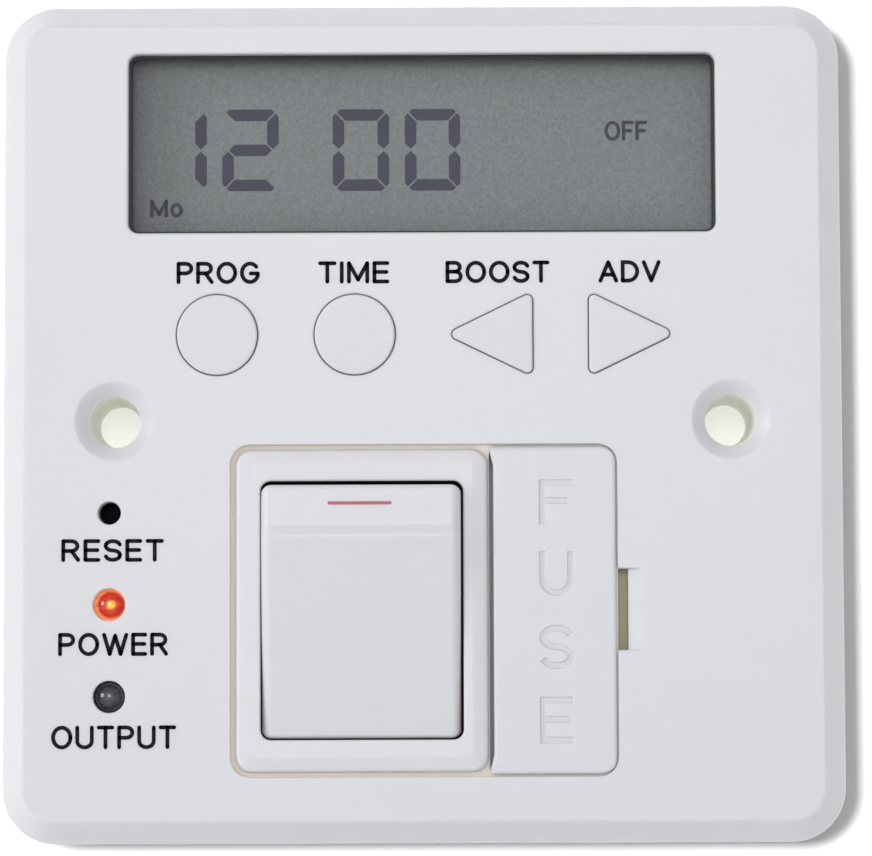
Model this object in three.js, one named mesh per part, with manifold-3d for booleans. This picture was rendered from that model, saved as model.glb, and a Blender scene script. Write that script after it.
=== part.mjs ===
// Seven-day electronic timer with a fused, switched spur, for a single-gang flush wall box.
// Millimetres. X runs to the right across the plate, Z up the wall and Y into the wall.
// The origin is the plate's centre on the wall's surface, so the face lies at negative Y.
import * as THREE from 'three';
import { mergeVertices } from 'three/addons/utils/BufferGeometryUtils.js';
import Module from 'manifold-3d';

const wasm = await Module();
wasm.setup();

// Driving dimensions: plate
const FIXING_CENTRES = 60.3;
const PLATE_SIDE = 82.4;
const PLATE_CORNER = 5.3;
const FACE_Y = -10;
const FACE_THICKNESS = 2.6;
const CHAMFER_WIDTH = 2.15;
const CHAMFER_DEPTH = 2.3;
const SKIRT_WALL = 2.4;
const INNER_Y = FACE_Y + FACE_THICKNESS;

// Fixing holes and the pillars that carry the board and the rear cover
const BOSS_RADIUS = 4.3;
const SINK_RADIUS = 3.75;
const TUNNEL_RADIUS = 2.55;
const TUNNEL_REAR_RADIUS = 2.1;
const SINK_DEPTH = 1.2;
const PILLAR_RADIUS = 2.6;
const PILOT_RADIUS = 1.3;
const PILOT_DEPTH = 4.2;
const PILLARS = [
  { x: -27.5, z: 11.5, endY: -2.25 },
  { x: 27.5, z: 11.5, endY: -2.25, screw: 'upper' },
  { x: -24, z: -30.5, endY: -2.25, screw: 'lower' },
  { x: 26, z: -30.5, endY: -0.4 },
];
const SCREWED_PILLARS = PILLARS.filter((pillar) => pillar.screw);

// Display
const WINDOW = { x0: -28.83, x1: 28.83, z0: 18.5, z1: 36.2 };
const WINDOW_CORNER = 1;
const WINDOW_RECESS = 1.2;
const WINDOW_GAP = 0.28;
const WINDOW_LIP = 1.6;
const WINDOW_LIP_THICKNESS = 0.8;
const WINDOW_LIP_GAP = 0.3;
const CELL = { x0: -29.9, x1: 29.9, z0: 16.2, z1: 37.3 };
const CELL_FRONT_Y = -6.2;
const CELL_THICKNESS = 2.2;
const CELL_GAP = 0.3;
const FRAME_WALL = 1.6;
const FRAME_TOP_WALL = 0.8;
const STRIP = { x0: -27, x1: 27, z0: 16.6, z1: 18.2 };

// Control board
const BOARD_FRONT_Y = -1.9;
const BOARD_THICKNESS = 1.6;
const BOARD_REAR_Y = BOARD_FRONT_Y + BOARD_THICKNESS;
const BOARD_HALF_WIDTH = 36.5;
const BOARD_TOP_Z = 37.8;
const BOARD_STEP_Z = 2.5;
const BOARD_LIMB_X = -20.8;
const BOARD_BOTTOM_Z = -33.5;
const BOARD_GAP = 0.7;
const SCREW_HOLE_RADIUS = 1.6;
const MICROCONTROLLER = { half: 5, height: 1.4, x: 16, z: 24 };
const BACKUP_CELL = { radius: 10, height: 3.2, x: -11.2, z: 18.3, gap: 0.3 };
const BOARD_LINK = { halfX: 6.5, halfZ: 1.25, x: 12.5, z: 7.5, gap: 0.15 };

// Keys and lamps
const KEY_Z = 8.45;
const KEY_PROUD = 0.2;
const KEY_GAP = 0.15;
const KEY_RADIUS = 4.02;
const KEY_FLANGE = 0.6;
const KEY_EDGE = 0.25;
const KEY_FLANGE_Y = -7.1;
const KEY_FLANGE_THICKNESS = 0.8;
const KEY_STEM_RADIUS = 1.5;
const ARROW_LENGTH = 8.8;
const ARROW_HALF_BASE = 4.27;
const ARROW_CORNER = 0.6;
const KEYS = [
  { name: 'prog', x: -20.1 },
  { name: 'time', x: -6.63 },
  { name: 'boost', x: 7.92, pointing: -1 },
  { name: 'advance', x: 19.14, pointing: 1 },
];
const TACT_SIDE = 6;
const TACT_TOP_Y = -5.3;
const TACT_BORE_RADIUS = 1.75;
const TACT_BORE_DEPTH = 1.6;
const PLUNGER_RADIUS = 1.55;
const PLUNGER_FRONT_Y = -5.85;
const PLUNGER_REAR_Y = -4.35;
const PLUNGER_GAP = 0.05;
const INDICATOR_X = -30.6;
const RESET_Z = -8.96;
const POWER_LAMP_Z = -17.9;
const OUTPUT_LAMP_Z = -26.85;
const RESET_HOLE_RADIUS = 1.12;
const RESET_NOSE_RADIUS = 0.95;
const RESET_NOSE_Y = -7;
const LAMP_RADIUS = 1.46;
const LAMP_HOLE_RADIUS = 1.56;
const LAMP_FLANGE_RADIUS = 1.9;
const LAMP_FLANGE_THICKNESS = 1;
const LAMP_REAR_Y = -4.9;
const LAMP_DOME_STEPS = 4;
const LAMP_LEG_X = 0.6;
const LAMP_LEG_HALF = 0.25;

// Recess for the switch and the fuse, with the pry notch beside it
const RECESS = { x0: -18.8, x1: 18.95, z0: -34.7, z1: -2.35 };
const RECESS_CORNER = 1.9;
const LEDGE_DEPTH = 1.2;
const LEDGE_Y = FACE_Y + LEDGE_DEPTH;
const SWITCH_HOLE = { x0: -17.4, x1: 5.6, z0: -33.4, z1: -3.7 };
const FUSE_HOLE_X0 = 6.45;
const NOTCH = { x0: 18.7, x1: 20.3, z0: -22.5, z1: -14.5 };
const NOTCH_DEPTH = 1.8;
const NOTCH_RAMP_X = 21.2;

// Switch
const BEZEL = { x0: -18.25, x1: 6.4, z0: -34.2, z1: -2.87 };
const BEZEL_Y = -10.5;
const BEZEL_CORNER = 1.6;
const SHAFT = { x0: -17.1, x1: 5.3, z0: -33.1, z1: -4 };
const SHAFT_REAR_Y = -0.4;
const SHAFT_FLOOR_Y = -1.8;
const ROCKER_HOLE = { x0: -15.85, x1: 3.9, z0: -31.1, z1: -6.1 };
const CASE = { x0: -16.6, x1: 4.8, z0: -29.5, z1: -7.7 };
const CASE_REAR_Y = 12;
const CASE_WALL = 1.2;
const PIVOT_Y = -9.3;
const PIVOT_Z = (ROCKER_HOLE.z0 + ROCKER_HOLE.z1) / 2;
const PIVOT_RADIUS = 0.7;
const PIVOT_GAP = 0.1;
const PIVOT_REACH = 0.8;
const ROCKER_X0 = -15.75;
const ROCKER_X1 = 3.72;
const ROCKER_RADIUS = 12.4;
const ROCKER_TILT = THREE.MathUtils.degToRad(5.5);
const ROCKER_FRONT = -2;
const ROCKER_STEP = 0.35;
const ROCKER_BREAK_Z = 8.5;
const ROCKER_REAR = 4.5;
const ROCKER_WALL = 1.5;
const POLE_XS = [-10.5, -1.5];
const POLE_NAMES = ['left', 'right'];
const POST_RADIUS = 2.3;
const POST_REAR = 7;
const POST_BORE_RADIUS = 1.6;
const SPRING_FRONT = 0.3;
const SPRING_REAR = 4.1;
const SPRING_RADIUS = 1.15;
const WIRE_RADIUS = 0.18;
const SPRING_TURNS = 4;
const DETENT_RADIUS = 1.4;
const DETENT_FRONT = 4.5;
const DETENT_TIP = 9.5;
const DETENT_NOSE = 1.2;
const SEESAW_Y = 0.9;
const SEESAW_HALF_LENGTH = 7;
const SEESAW_THICKNESS = 0.8;
const SEESAW_WIDTH = 4;
const SEESAW_TILT = ROCKER_TILT * 1.1;
const FULCRUM_HALF_WIDTH = 1.7;
const FULCRUM_HALF_THICKNESS = 0.5;
const FULCRUM_GAP = 0.3;
const FIXED_CONTACT_Z = -11.6;
const FIXED_CONTACT_Y = 2.3;
const CONTACT_PAD_HALF_LENGTH = 1.2;
const CONTACT_BLADE_HALF_WIDTH = 1.5;
const CONTACT_BLADE_HALF_THICKNESS = 0.4;
const CONTACT_SLOT_HALF_WIDTH = 1.8;
const CONTACT_SLOT_HALF_THICKNESS = 0.7;
const BLADE_END_Y = 13.6;

// Fuse carrier, fuse and its housing
const COVER = { x0: 6.9, x1: 18.78, z0: -34.45, z1: -2.62 };
const COVER_Y = -10.1;
const COVER_THICKNESS = 2;
const COVER_CORNER = 1.4;
const COVER_HINGE_EDGE = 0.4;
const HINGE_X = 7.9;
const HINGE_Y = -8.95;
const HINGE_RADIUS = 0.5;
const HINGE_GAP = 0.12;
const HINGE_REACH = 1;
const FUSE_X = 13.6;
const FUSE_Y = -4.6;
const FUSE_Z = (COVER.z0 + COVER.z1) / 2;
const FUSE_LENGTH = 25.4;
const FUSE_BODY_RADIUS = 2.85;
const FUSE_CAP_RADIUS = 3.15;
const FUSE_CAP_LENGTH = 6;
const FUSE_CAP_WALL = 0.2;
const FUSE_CAP_GAP = 0.1;
const FUSE_END_GAP = 0.28;
const SADDLE_OFFSET = 5;
const SADDLE_THICKNESS = 3;
const SADDLE_HALF_WIDTH = 3.5;
const SADDLE_REAR_Y = -4.2;
const SADDLE_GAP = 0.12;
const HOUSING = { x0: 5.7, x1: 20.5, z0: -35, z1: -2.1 };
const HOUSING_FRONT_Y = -7.2;
const HOUSING_STEP_Y = -0.3;
const HOUSING_REAR_Y = 0.9;
const HOUSING_FLOOR = { x0: 8, x1: 19.6, z0: -30.9, z1: -6.2 };
const HOUSING_FLOOR_WALL = 1;
const HOUSING_FLOOR_Y = -0.1;
const POCKET = { x0: 8.5, x1: 19.3, z0: -34, z1: -3.1 };
const POCKET_Y = -1.3;
const CLIP_GAP = 0.12;
const CLIP_THICKNESS = 0.5;
const CLIP_WIDTH = 3.6;
const CLIP_FROM_END = 3.4;
const CLIP_HALF_ANGLE = THREE.MathUtils.degToRad(75);
const CLIP_BLADE_THICKNESS = 0.6;
const CLIP_BLADE_WIDTH = 2.8;
const CLIP_BLADE_X = FUSE_X - 1.2;
const CLIP_SLOT_HALF_WIDTH = 0.6;
const CLIP_SLOT_HALF_LENGTH = 1.64;

// Power board, rear cover and terminals
const POWER_BOARD_Y = 13.9;
const POWER_BOARD_THICKNESS = 1.6;
const POWER_BOARD_GAP = 0.3;
const RELAY = { halfX: 14, halfZ: 5, height: 12, x: 14, z: 23.3 };
const DROPPER = { halfX: 8.5, halfZ: 4, height: 9.7, x: -13, z: 24 };
const SMOOTHER = { radius: 4, height: 9.5, x: -8, z: 12 };
const PART_GAP = 0.1;
const REAR_WALL = 1.8;
const REAR_Y = 18;
const REAR_TOP_Z = 31.5;
const REAR_BOTTOM_Z = -33;
const REAR_HALF_WIDTH = 30.5;
const WAIST_HALF_WIDTH = 23.4;
const WAIST_TOP_Z = 15.2;
const WAIST_BOTTOM_Z = -8.5;
const FOOT_TOP_Z = -26.5;
const FOOT_X0 = -20;
const FOOT_X1 = 22;
const EAR_THICKNESS = 2.2;
const EAR_HALF = 3.4;
const EAR_REACH = 1;
const EAR_HOLE_RADIUS = 1.4;
const TERMINAL_PITCH = 10.4;
const TERMINAL_NAMES = ['neutral_in', 'live_in', 'earth', 'neutral_out', 'live_out'];
const BLOCK = { x0: -26.8, x1: 26.8, z0: 17.2, z1: 29.2 };
const BLOCK_Z = (BLOCK.z0 + BLOCK.z1) / 2;
const BLOCK_FRONT_Y = 15.7;
const BLOCK_REAR_Y = 26;
const BLOCK_GAP = 0.3;
const CELL_WIDTH = 7.8;
const CELL_HEIGHT = 8.6;
const CELL_FLOOR_Y = 17;
const TERMINAL = { width: 7.2, height: 8, front: 17.2, rear: 22.5 };
const WIRE_HOLE_RADIUS = 1.6;
const WIRE_HOLE_Y = 19.4;
const WIRE_ENTRY_RADIUS = 1.7;
const TERMINAL_SCREW_RADIUS = 1.7;
const TERMINAL_BORE_RADIUS = 1.8;
const TERMINAL_HEAD_RADIUS = 2.7;
const TERMINAL_HEAD_Y = 22.7;
const TERMINAL_HEAD_HEIGHT = 1.6;
const SLOT_WIDTH = 0.8;
const SLOT_DEPTH = 0.8;
const COVER_SCREW_RADIUS = 1.2;
const COVER_SCREW_HEAD_RADIUS = 2.4;
const COVER_SCREW_HEAD_HEIGHT = 1.8;
const COVER_SCREW_TIP_Y = -5.6;

// How finely round shapes are cut into facets, and how far a cutter runs past what it cuts
const ROUND_STEPS = 24;
const SMALL_STEPS = 16;
const ARC_STEPS = 4;
const WIRE_SIDES = 6;
const STEPS_PER_TURN = 9;
const WELD = 1e-4;
const PAST = 1;

// ---- Solids ----

function solidFrom(geometry) {
  const bare = geometry.clone();
  bare.deleteAttribute('normal');
  bare.deleteAttribute('uv');
  const merged = mergeVertices(bare, WELD);
  const index = merged.index.array;
  const triangles = [];
  for (let i = 0; i < index.length; i += 3) {
    const [a, b, c] = [index[i], index[i + 1], index[i + 2]];
    if (a !== b && b !== c && c !== a) triangles.push([a, b, c]);
  }
  const positions = new Float32Array(merged.attributes.position.array);
  const inward = signedVolume(positions, triangles) < 0;
  const triVerts = Uint32Array.from(triangles.flatMap(([a, b, c]) => (inward ? [a, c, b] : [a, b, c])));
  return new wasm.Manifold(new wasm.Mesh({ numProp: 3, vertProperties: positions, triVerts }));
}

function signedVolume(positions, triangles) {
  const corner = (i) => new THREE.Vector3().fromArray(positions, 3 * i);
  return triangles.reduce((sum, [a, b, c]) => sum + corner(a).dot(corner(b).cross(corner(c))) / 6, 0);
}

function geometryFrom(solid) {
  const mesh = solid.getMesh();
  const geometry = new THREE.BufferGeometry();
  geometry.setAttribute('position', new THREE.BufferAttribute(mesh.vertProperties, 3));
  geometry.setIndex(new THREE.BufferAttribute(mesh.triVerts, 1));
  geometry.computeVertexNormals();
  return geometry;
}

function join(first, ...others) {
  return others.reduce((sum, other) => sum.add(other), first);
}

function cut(first, ...others) {
  return others.reduce((rest, other) => rest.subtract(other), first);
}

function box(area, y0, y1) {
  const geometry = new THREE.BoxGeometry(area.x1 - area.x0, y1 - y0, area.z1 - area.z0);
  geometry.translate((area.x0 + area.x1) / 2, (y0 + y1) / 2, (area.z0 + area.z1) / 2);
  return solidFrom(geometry);
}

function area(x0, x1, z0, z1) {
  return { x0, x1, z0, z1 };
}

function around(x, z, halfX, halfZ = halfX) {
  return area(x - halfX, x + halfX, z - halfZ, z + halfZ);
}

function grown(rectangle, by) {
  return area(rectangle.x0 - by, rectangle.x1 + by, rectangle.z0 - by, rectangle.z1 + by);
}

// A round bar along Y; the front radius is the one at y0.
function rod(x, z, frontRadius, y0, y1, rearRadius = frontRadius, steps = ROUND_STEPS) {
  const geometry = new THREE.CylinderGeometry(rearRadius, frontRadius, y1 - y0, steps);
  geometry.translate(x, (y0 + y1) / 2, z);
  return solidFrom(geometry);
}

function pinAlongX(y, z, radius, x0, x1) {
  const geometry = new THREE.CylinderGeometry(radius, radius, x1 - x0, SMALL_STEPS);
  geometry.rotateZ(Math.PI / 2);
  geometry.translate((x0 + x1) / 2, y, z);
  return solidFrom(geometry);
}

function pinAlongZ(x, y, radius, z0, z1, steps = SMALL_STEPS) {
  const geometry = new THREE.CylinderGeometry(radius, radius, z1 - z0, steps);
  geometry.rotateX(Math.PI / 2);
  geometry.translate(x, y, (z0 + z1) / 2);
  return solidFrom(geometry);
}

// A shape drawn in X and Z, with its thickness along Y.
function slab(shape, y0, y1) {
  const geometry = new THREE.ExtrudeGeometry(shape, {
    depth: y1 - y0, bevelEnabled: false, curveSegments: ARC_STEPS,
  });
  geometry.rotateX(Math.PI / 2);
  geometry.translate(0, y1, 0);
  return solidFrom(geometry);
}

// A slab whose front edge is chamfered all round.
function chamferedSlab(shape, y0, y1, width, depth) {
  const geometry = new THREE.ExtrudeGeometry(shape, {
    depth: y1 - y0, curveSegments: ARC_STEPS, bevelEnabled: true,
    bevelSegments: 1, bevelSize: width, bevelOffset: -width, bevelThickness: depth,
  });
  geometry.rotateX(Math.PI / 2);
  geometry.translate(0, y1 + depth, 0);
  const keep = box(around(0, 0, PLATE_SIDE), y0 - PAST, y1);
  return solidFrom(geometry).intersect(keep);
}

// A profile drawn in Y and Z, running along X.
function bar(profile, x0, x1) {
  const geometry = new THREE.ExtrudeGeometry(profile, {
    depth: x1 - x0, bevelEnabled: false, curveSegments: ARC_STEPS,
  });
  const turn = new THREE.Matrix4().makeBasis(
    new THREE.Vector3(0, 1, 0), new THREE.Vector3(0, 0, 1), new THREE.Vector3(1, 0, 0),
  );
  geometry.applyMatrix4(turn);
  geometry.translate(x0, 0, 0);
  return solidFrom(geometry);
}

// A profile drawn in X and Y, running along Z.
function column(profile, z0, z1) {
  const geometry = new THREE.ExtrudeGeometry(profile, {
    depth: z1 - z0, bevelEnabled: false, curveSegments: ARC_STEPS,
  });
  geometry.translate(0, 0, z0);
  return solidFrom(geometry);
}

// A round body about the Y axis, from its radii and places along Y.
function turned(points, steps = ROUND_STEPS) {
  const profile = points.map(([radius, y]) => new THREE.Vector2(radius, y));
  return solidFrom(new THREE.LatheGeometry(profile, steps));
}

function roundedRectangle(rectangle, radius) {
  const { x0, x1, z0, z1 } = rectangle;
  const shape = new THREE.Shape();
  shape.absarc(x1 - radius, z1 - radius, radius, 0, Math.PI / 2);
  shape.absarc(x0 + radius, z1 - radius, radius, Math.PI / 2, Math.PI);
  shape.absarc(x0 + radius, z0 + radius, radius, Math.PI, 1.5 * Math.PI);
  shape.absarc(x1 - radius, z0 + radius, radius, 1.5 * Math.PI, 2 * Math.PI);
  return shape;
}

function polygon(points) {
  return new THREE.Shape(points.map(([x, y]) => new THREE.Vector2(x, y)));
}

function roundedPolygon(points, radius) {
  const corners = points.map(([x, y]) => new THREE.Vector2(x, y));
  const shape = new THREE.Shape();
  corners.forEach((corner, i) => {
    const before = corners[(i + corners.length - 1) % corners.length].clone().sub(corner).normalize();
    const after = corners[(i + 1) % corners.length].clone().sub(corner).normalize();
    const reach = radius / Math.tan(Math.acos(before.dot(after)) / 2);
    const enter = corner.clone().addScaledVector(before, reach);
    const leave = corner.clone().addScaledVector(after, reach);
    if (i === 0) shape.moveTo(enter.x, enter.y);
    else shape.lineTo(enter.x, enter.y);
    shape.quadraticCurveTo(corner.x, corner.y, leave.x, leave.y);
  });
  return shape;
}

// ---- Plate ----

function frontPlate() {
  const outline = around(0, 0, PLATE_SIDE / 2);
  const shape = roundedRectangle(outline, PLATE_CORNER);
  const body = chamferedSlab(shape, FACE_Y, 0, CHAMFER_WIDTH, CHAMFER_DEPTH);
  const cavity = roundedRectangle(grown(outline, -SKIRT_WALL), PLATE_CORNER - SKIRT_WALL);
  let plate = cut(body, slab(cavity, INNER_Y, PAST));
  for (const side of [-1, 1]) {
    plate = cut(join(plate, boss(side)), fixingHole(side));
  }
  plate = cut(join(plate, ...PILLARS.map(pillarSolid)), ...SCREWED_PILLARS.map(pilotHole));
  plate = cut(plate, slab(roundedRectangle(WINDOW, WINDOW_CORNER), FACE_Y - PAST, INNER_Y + PAST));
  const roundHoles = [
    rod(INDICATOR_X, RESET_Z, RESET_HOLE_RADIUS, FACE_Y - PAST, INNER_Y + PAST),
    rod(INDICATOR_X, POWER_LAMP_Z, LAMP_HOLE_RADIUS, FACE_Y - PAST, INNER_Y + PAST),
    rod(INDICATOR_X, OUTPUT_LAMP_Z, LAMP_HOLE_RADIUS, FACE_Y - PAST, INNER_Y + PAST),
  ];
  return cut(plate, ...KEYS.map(keyHole), ...roundHoles, ...recessCutters());
}

function boss(side) {
  return rod(side * FIXING_CENTRES / 2, 0, BOSS_RADIUS, INNER_Y - PAST, 0);
}

function fixingHole(side) {
  const x = side * FIXING_CENTRES / 2;
  const sinkEnd = FACE_Y + SINK_DEPTH;
  const slope = (SINK_RADIUS - TUNNEL_RADIUS) / SINK_DEPTH;
  const sink = rod(x, 0, SINK_RADIUS + slope * PAST, FACE_Y - PAST, sinkEnd, TUNNEL_RADIUS);
  const tunnel = rod(x, 0, TUNNEL_RADIUS, sinkEnd - WELD, PAST, TUNNEL_REAR_RADIUS);
  return join(sink, tunnel);
}

function pillarSolid({ x, z, endY }) {
  return rod(x, z, PILLAR_RADIUS, INNER_Y - PAST, endY);
}

function pilotHole({ x, z }) {
  return rod(x, z, PILOT_RADIUS, BOARD_FRONT_Y - PILOT_DEPTH, PAST, PILOT_RADIUS, SMALL_STEPS);
}

function keyHole({ x, pointing }) {
  if (!pointing) return rod(x, KEY_Z, KEY_RADIUS, FACE_Y - PAST, INNER_Y + PAST);
  return slab(arrow(pointing, 0, x, KEY_Z), FACE_Y - PAST, INNER_Y + PAST);
}

// A triangle with rounded corners about its centroid, pointing left or right, made larger by an offset.
function arrow(pointing, offset, x = 0, z = 0) {
  const halfAngle = Math.atan(ARROW_HALF_BASE / ARROW_LENGTH);
  const base = -ARROW_LENGTH / 3 - offset;
  const tip = 2 * ARROW_LENGTH / 3 + offset / Math.sin(halfAngle);
  const halfBase = (tip - base) * Math.tan(halfAngle);
  const baseX = x + pointing * base;
  const corners = [[x + pointing * tip, z], [baseX, z + halfBase], [baseX, z - halfBase]];
  return roundedPolygon(corners, ARROW_CORNER + offset);
}

// The pan that takes the bezel and the fuse cover, and what is cut through or beside it.
function recessCutters() {
  const outline = roundedRectangle(RECESS, RECESS_CORNER);
  const pan = slab(outline, FACE_Y - PAST, LEDGE_Y);
  const switchHole = box(SWITCH_HOLE, LEDGE_Y - PAST, INNER_Y + PAST);
  const besideSwitch = box({ ...RECESS, x0: FUSE_HOLE_X0 }, LEDGE_Y - PAST, INNER_Y + PAST);
  const fuseHole = slab(outline, LEDGE_Y - PAST, INNER_Y + PAST).intersect(besideSwitch);
  const sockets = pinAlongZ(HINGE_X, HINGE_Y, HINGE_RADIUS + HINGE_GAP,
    COVER.z0 - HINGE_REACH - HINGE_GAP, COVER.z1 + HINGE_REACH + HINGE_GAP);
  const notchFloor = FACE_Y + NOTCH_DEPTH;
  const profile = polygon([
    [NOTCH.x0, FACE_Y - PAST], [NOTCH.x0, notchFloor], [NOTCH.x1, notchFloor],
    [NOTCH_RAMP_X, FACE_Y], [NOTCH_RAMP_X, FACE_Y - PAST],
  ]);
  return [pan, switchHole, fuseHole, sockets, column(profile, NOTCH.z0, NOTCH.z1)];
}

// ---- Display and control board ----

function displayWindow() {
  const front = FACE_Y + WINDOW_RECESS;
  const lipFront = INNER_Y + WINDOW_LIP_GAP;
  const paneShape = roundedRectangle(grown(WINDOW, -WINDOW_GAP), WINDOW_CORNER);
  const lipShape = roundedRectangle(grown(WINDOW, WINDOW_LIP), WINDOW_CORNER);
  const pane = slab(paneShape, front, lipFront + WELD);
  return join(pane, slab(lipShape, lipFront, lipFront + WINDOW_LIP_THICKNESS));
}

function lcdCell() {
  return box(CELL, CELL_FRONT_Y, CELL_FRONT_Y + CELL_THICKNESS);
}

function lcdFrame() {
  const inside = grown(CELL, CELL_GAP);
  const outside = grown(inside, FRAME_WALL);
  outside.z1 = inside.z1 + FRAME_TOP_WALL;
  const rear = BOARD_FRONT_Y - WELD;
  return cut(box(outside, CELL_FRONT_Y, rear), box(inside, CELL_FRONT_Y - PAST, rear + PAST));
}

function lcdContactStrip() {
  return box(STRIP, CELL_FRONT_Y + CELL_THICKNESS, BOARD_FRONT_Y);
}

function controlBoard() {
  const outline = polygon([
    [-BOARD_HALF_WIDTH, BOARD_TOP_Z], [-BOARD_HALF_WIDTH, BOARD_BOTTOM_Z], [BOARD_LIMB_X, BOARD_BOTTOM_Z],
    [BOARD_LIMB_X, BOARD_STEP_Z], [BOARD_HALF_WIDTH, BOARD_STEP_Z], [BOARD_HALF_WIDTH, BOARD_TOP_Z],
  ]);
  const y0 = BOARD_FRONT_Y - PAST;
  const bossHoles = [-1, 1].map(
    (side) => rod(side * FIXING_CENTRES / 2, 0, BOSS_RADIUS + BOARD_GAP, y0, PAST),
  );
  const screwHoles = SCREWED_PILLARS.map(
    ({ x, z }) => rod(x, z, SCREW_HOLE_RADIUS, y0, PAST, SCREW_HOLE_RADIUS, SMALL_STEPS),
  );
  return cut(slab(outline, BOARD_FRONT_Y, BOARD_REAR_Y), ...bossHoles, ...screwHoles);
}

// ---- Keys, tactile switches and lamps ----

function roundKey() {
  const front = FACE_Y - KEY_PROUD;
  const radius = KEY_RADIUS - KEY_GAP;
  const flangeRear = KEY_FLANGE_Y + KEY_FLANGE_THICKNESS;
  return turned([
    [0, front], [radius - KEY_EDGE, front], [radius, front + KEY_EDGE], [radius, KEY_FLANGE_Y],
    [radius + KEY_FLANGE, KEY_FLANGE_Y], [radius + KEY_FLANGE, flangeRear],
    [KEY_STEM_RADIUS, flangeRear], [KEY_STEM_RADIUS, PLUNGER_FRONT_Y], [0, PLUNGER_FRONT_Y],
  ]);
}

function arrowKey(pointing) {
  const flangeRear = KEY_FLANGE_Y + KEY_FLANGE_THICKNESS;
  const cap = slab(arrow(pointing, -KEY_GAP), FACE_Y - KEY_PROUD, KEY_FLANGE_Y);
  const flange = slab(arrow(pointing, KEY_FLANGE - KEY_GAP), KEY_FLANGE_Y, flangeRear);
  const stem = rod(0, 0, KEY_STEM_RADIUS, flangeRear - WELD, PLUNGER_FRONT_Y, KEY_STEM_RADIUS, SMALL_STEPS);
  return join(cap, flange, stem);
}

function tactSwitch() {
  const body = box(around(0, 0, TACT_SIDE / 2), TACT_TOP_Y, BOARD_FRONT_Y);
  return cut(body, rod(0, 0, TACT_BORE_RADIUS, TACT_TOP_Y - PAST, TACT_TOP_Y + TACT_BORE_DEPTH,
    TACT_BORE_RADIUS, SMALL_STEPS));
}

function tactPlunger() {
  return rod(0, 0, PLUNGER_RADIUS, PLUNGER_FRONT_Y, PLUNGER_REAR_Y, PLUNGER_RADIUS, SMALL_STEPS);
}

function resetPlunger() {
  return turned([
    [0, RESET_NOSE_Y], [RESET_NOSE_RADIUS, RESET_NOSE_Y], [RESET_NOSE_RADIUS, PLUNGER_FRONT_Y],
    [PLUNGER_RADIUS, PLUNGER_FRONT_Y], [PLUNGER_RADIUS, PLUNGER_REAR_Y], [0, PLUNGER_REAR_Y],
  ], SMALL_STEPS);
}

function lamp() {
  const domeCentre = FACE_Y + LAMP_RADIUS;
  const dome = Array.from({ length: LAMP_DOME_STEPS + 1 }, (_, i) => {
    const angle = (i / LAMP_DOME_STEPS) * Math.PI / 2;
    return [LAMP_RADIUS * Math.sin(angle), domeCentre - LAMP_RADIUS * Math.cos(angle)];
  });
  const flangeFront = LAMP_REAR_Y - LAMP_FLANGE_THICKNESS;
  const body = turned([
    ...dome, [LAMP_RADIUS, flangeFront], [LAMP_FLANGE_RADIUS, flangeFront],
    [LAMP_FLANGE_RADIUS, LAMP_REAR_Y], [0, LAMP_REAR_Y],
  ], SMALL_STEPS);
  const legs = [-LAMP_LEG_X, LAMP_LEG_X].map(
    (x) => box(around(x, 0, LAMP_LEG_HALF), flangeFront, BOARD_FRONT_Y),
  );
  return join(body, ...legs);
}

// ---- Rocker switch ----

function switchHousing() {
  const bezel = slab(roundedRectangle(BEZEL, BEZEL_CORNER), BEZEL_Y, LEDGE_Y);
  const shaft = box(SHAFT, LEDGE_Y - WELD, SHAFT_REAR_Y);
  const rearCase = box(CASE, SHAFT_REAR_Y - WELD, CASE_REAR_Y);
  let housing = join(bezel, shaft, rearCase);
  housing = cut(housing, box(ROCKER_HOLE, BEZEL_Y - PAST, SHAFT_FLOOR_Y));
  housing = cut(housing, box(grown(CASE, -CASE_WALL), SHAFT_FLOOR_Y - PAST, CASE_REAR_Y - CASE_WALL));
  housing = cut(housing, pinAlongX(PIVOT_Y, PIVOT_Z, PIVOT_RADIUS + PIVOT_GAP,
    ROCKER_X0 - PIVOT_REACH - PIVOT_GAP, ROCKER_X1 + PIVOT_REACH + PIVOT_GAP));
  for (const x of POLE_XS) {
    const fulcrum = around(x, PIVOT_Z, FULCRUM_HALF_WIDTH, FULCRUM_HALF_THICKNESS);
    const fulcrumTop = SEESAW_Y + SEESAW_THICKNESS / 2 + FULCRUM_GAP;
    const slot = around(x, FIXED_CONTACT_Z, CONTACT_SLOT_HALF_WIDTH, CONTACT_SLOT_HALF_THICKNESS);
    housing = join(housing, box(fulcrum, fulcrumTop, CASE_REAR_Y - WELD));
    housing = cut(housing, box(slot, CASE_REAR_Y - CASE_WALL - PAST, CASE_REAR_Y + PAST));
  }
  return housing;
}

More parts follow.
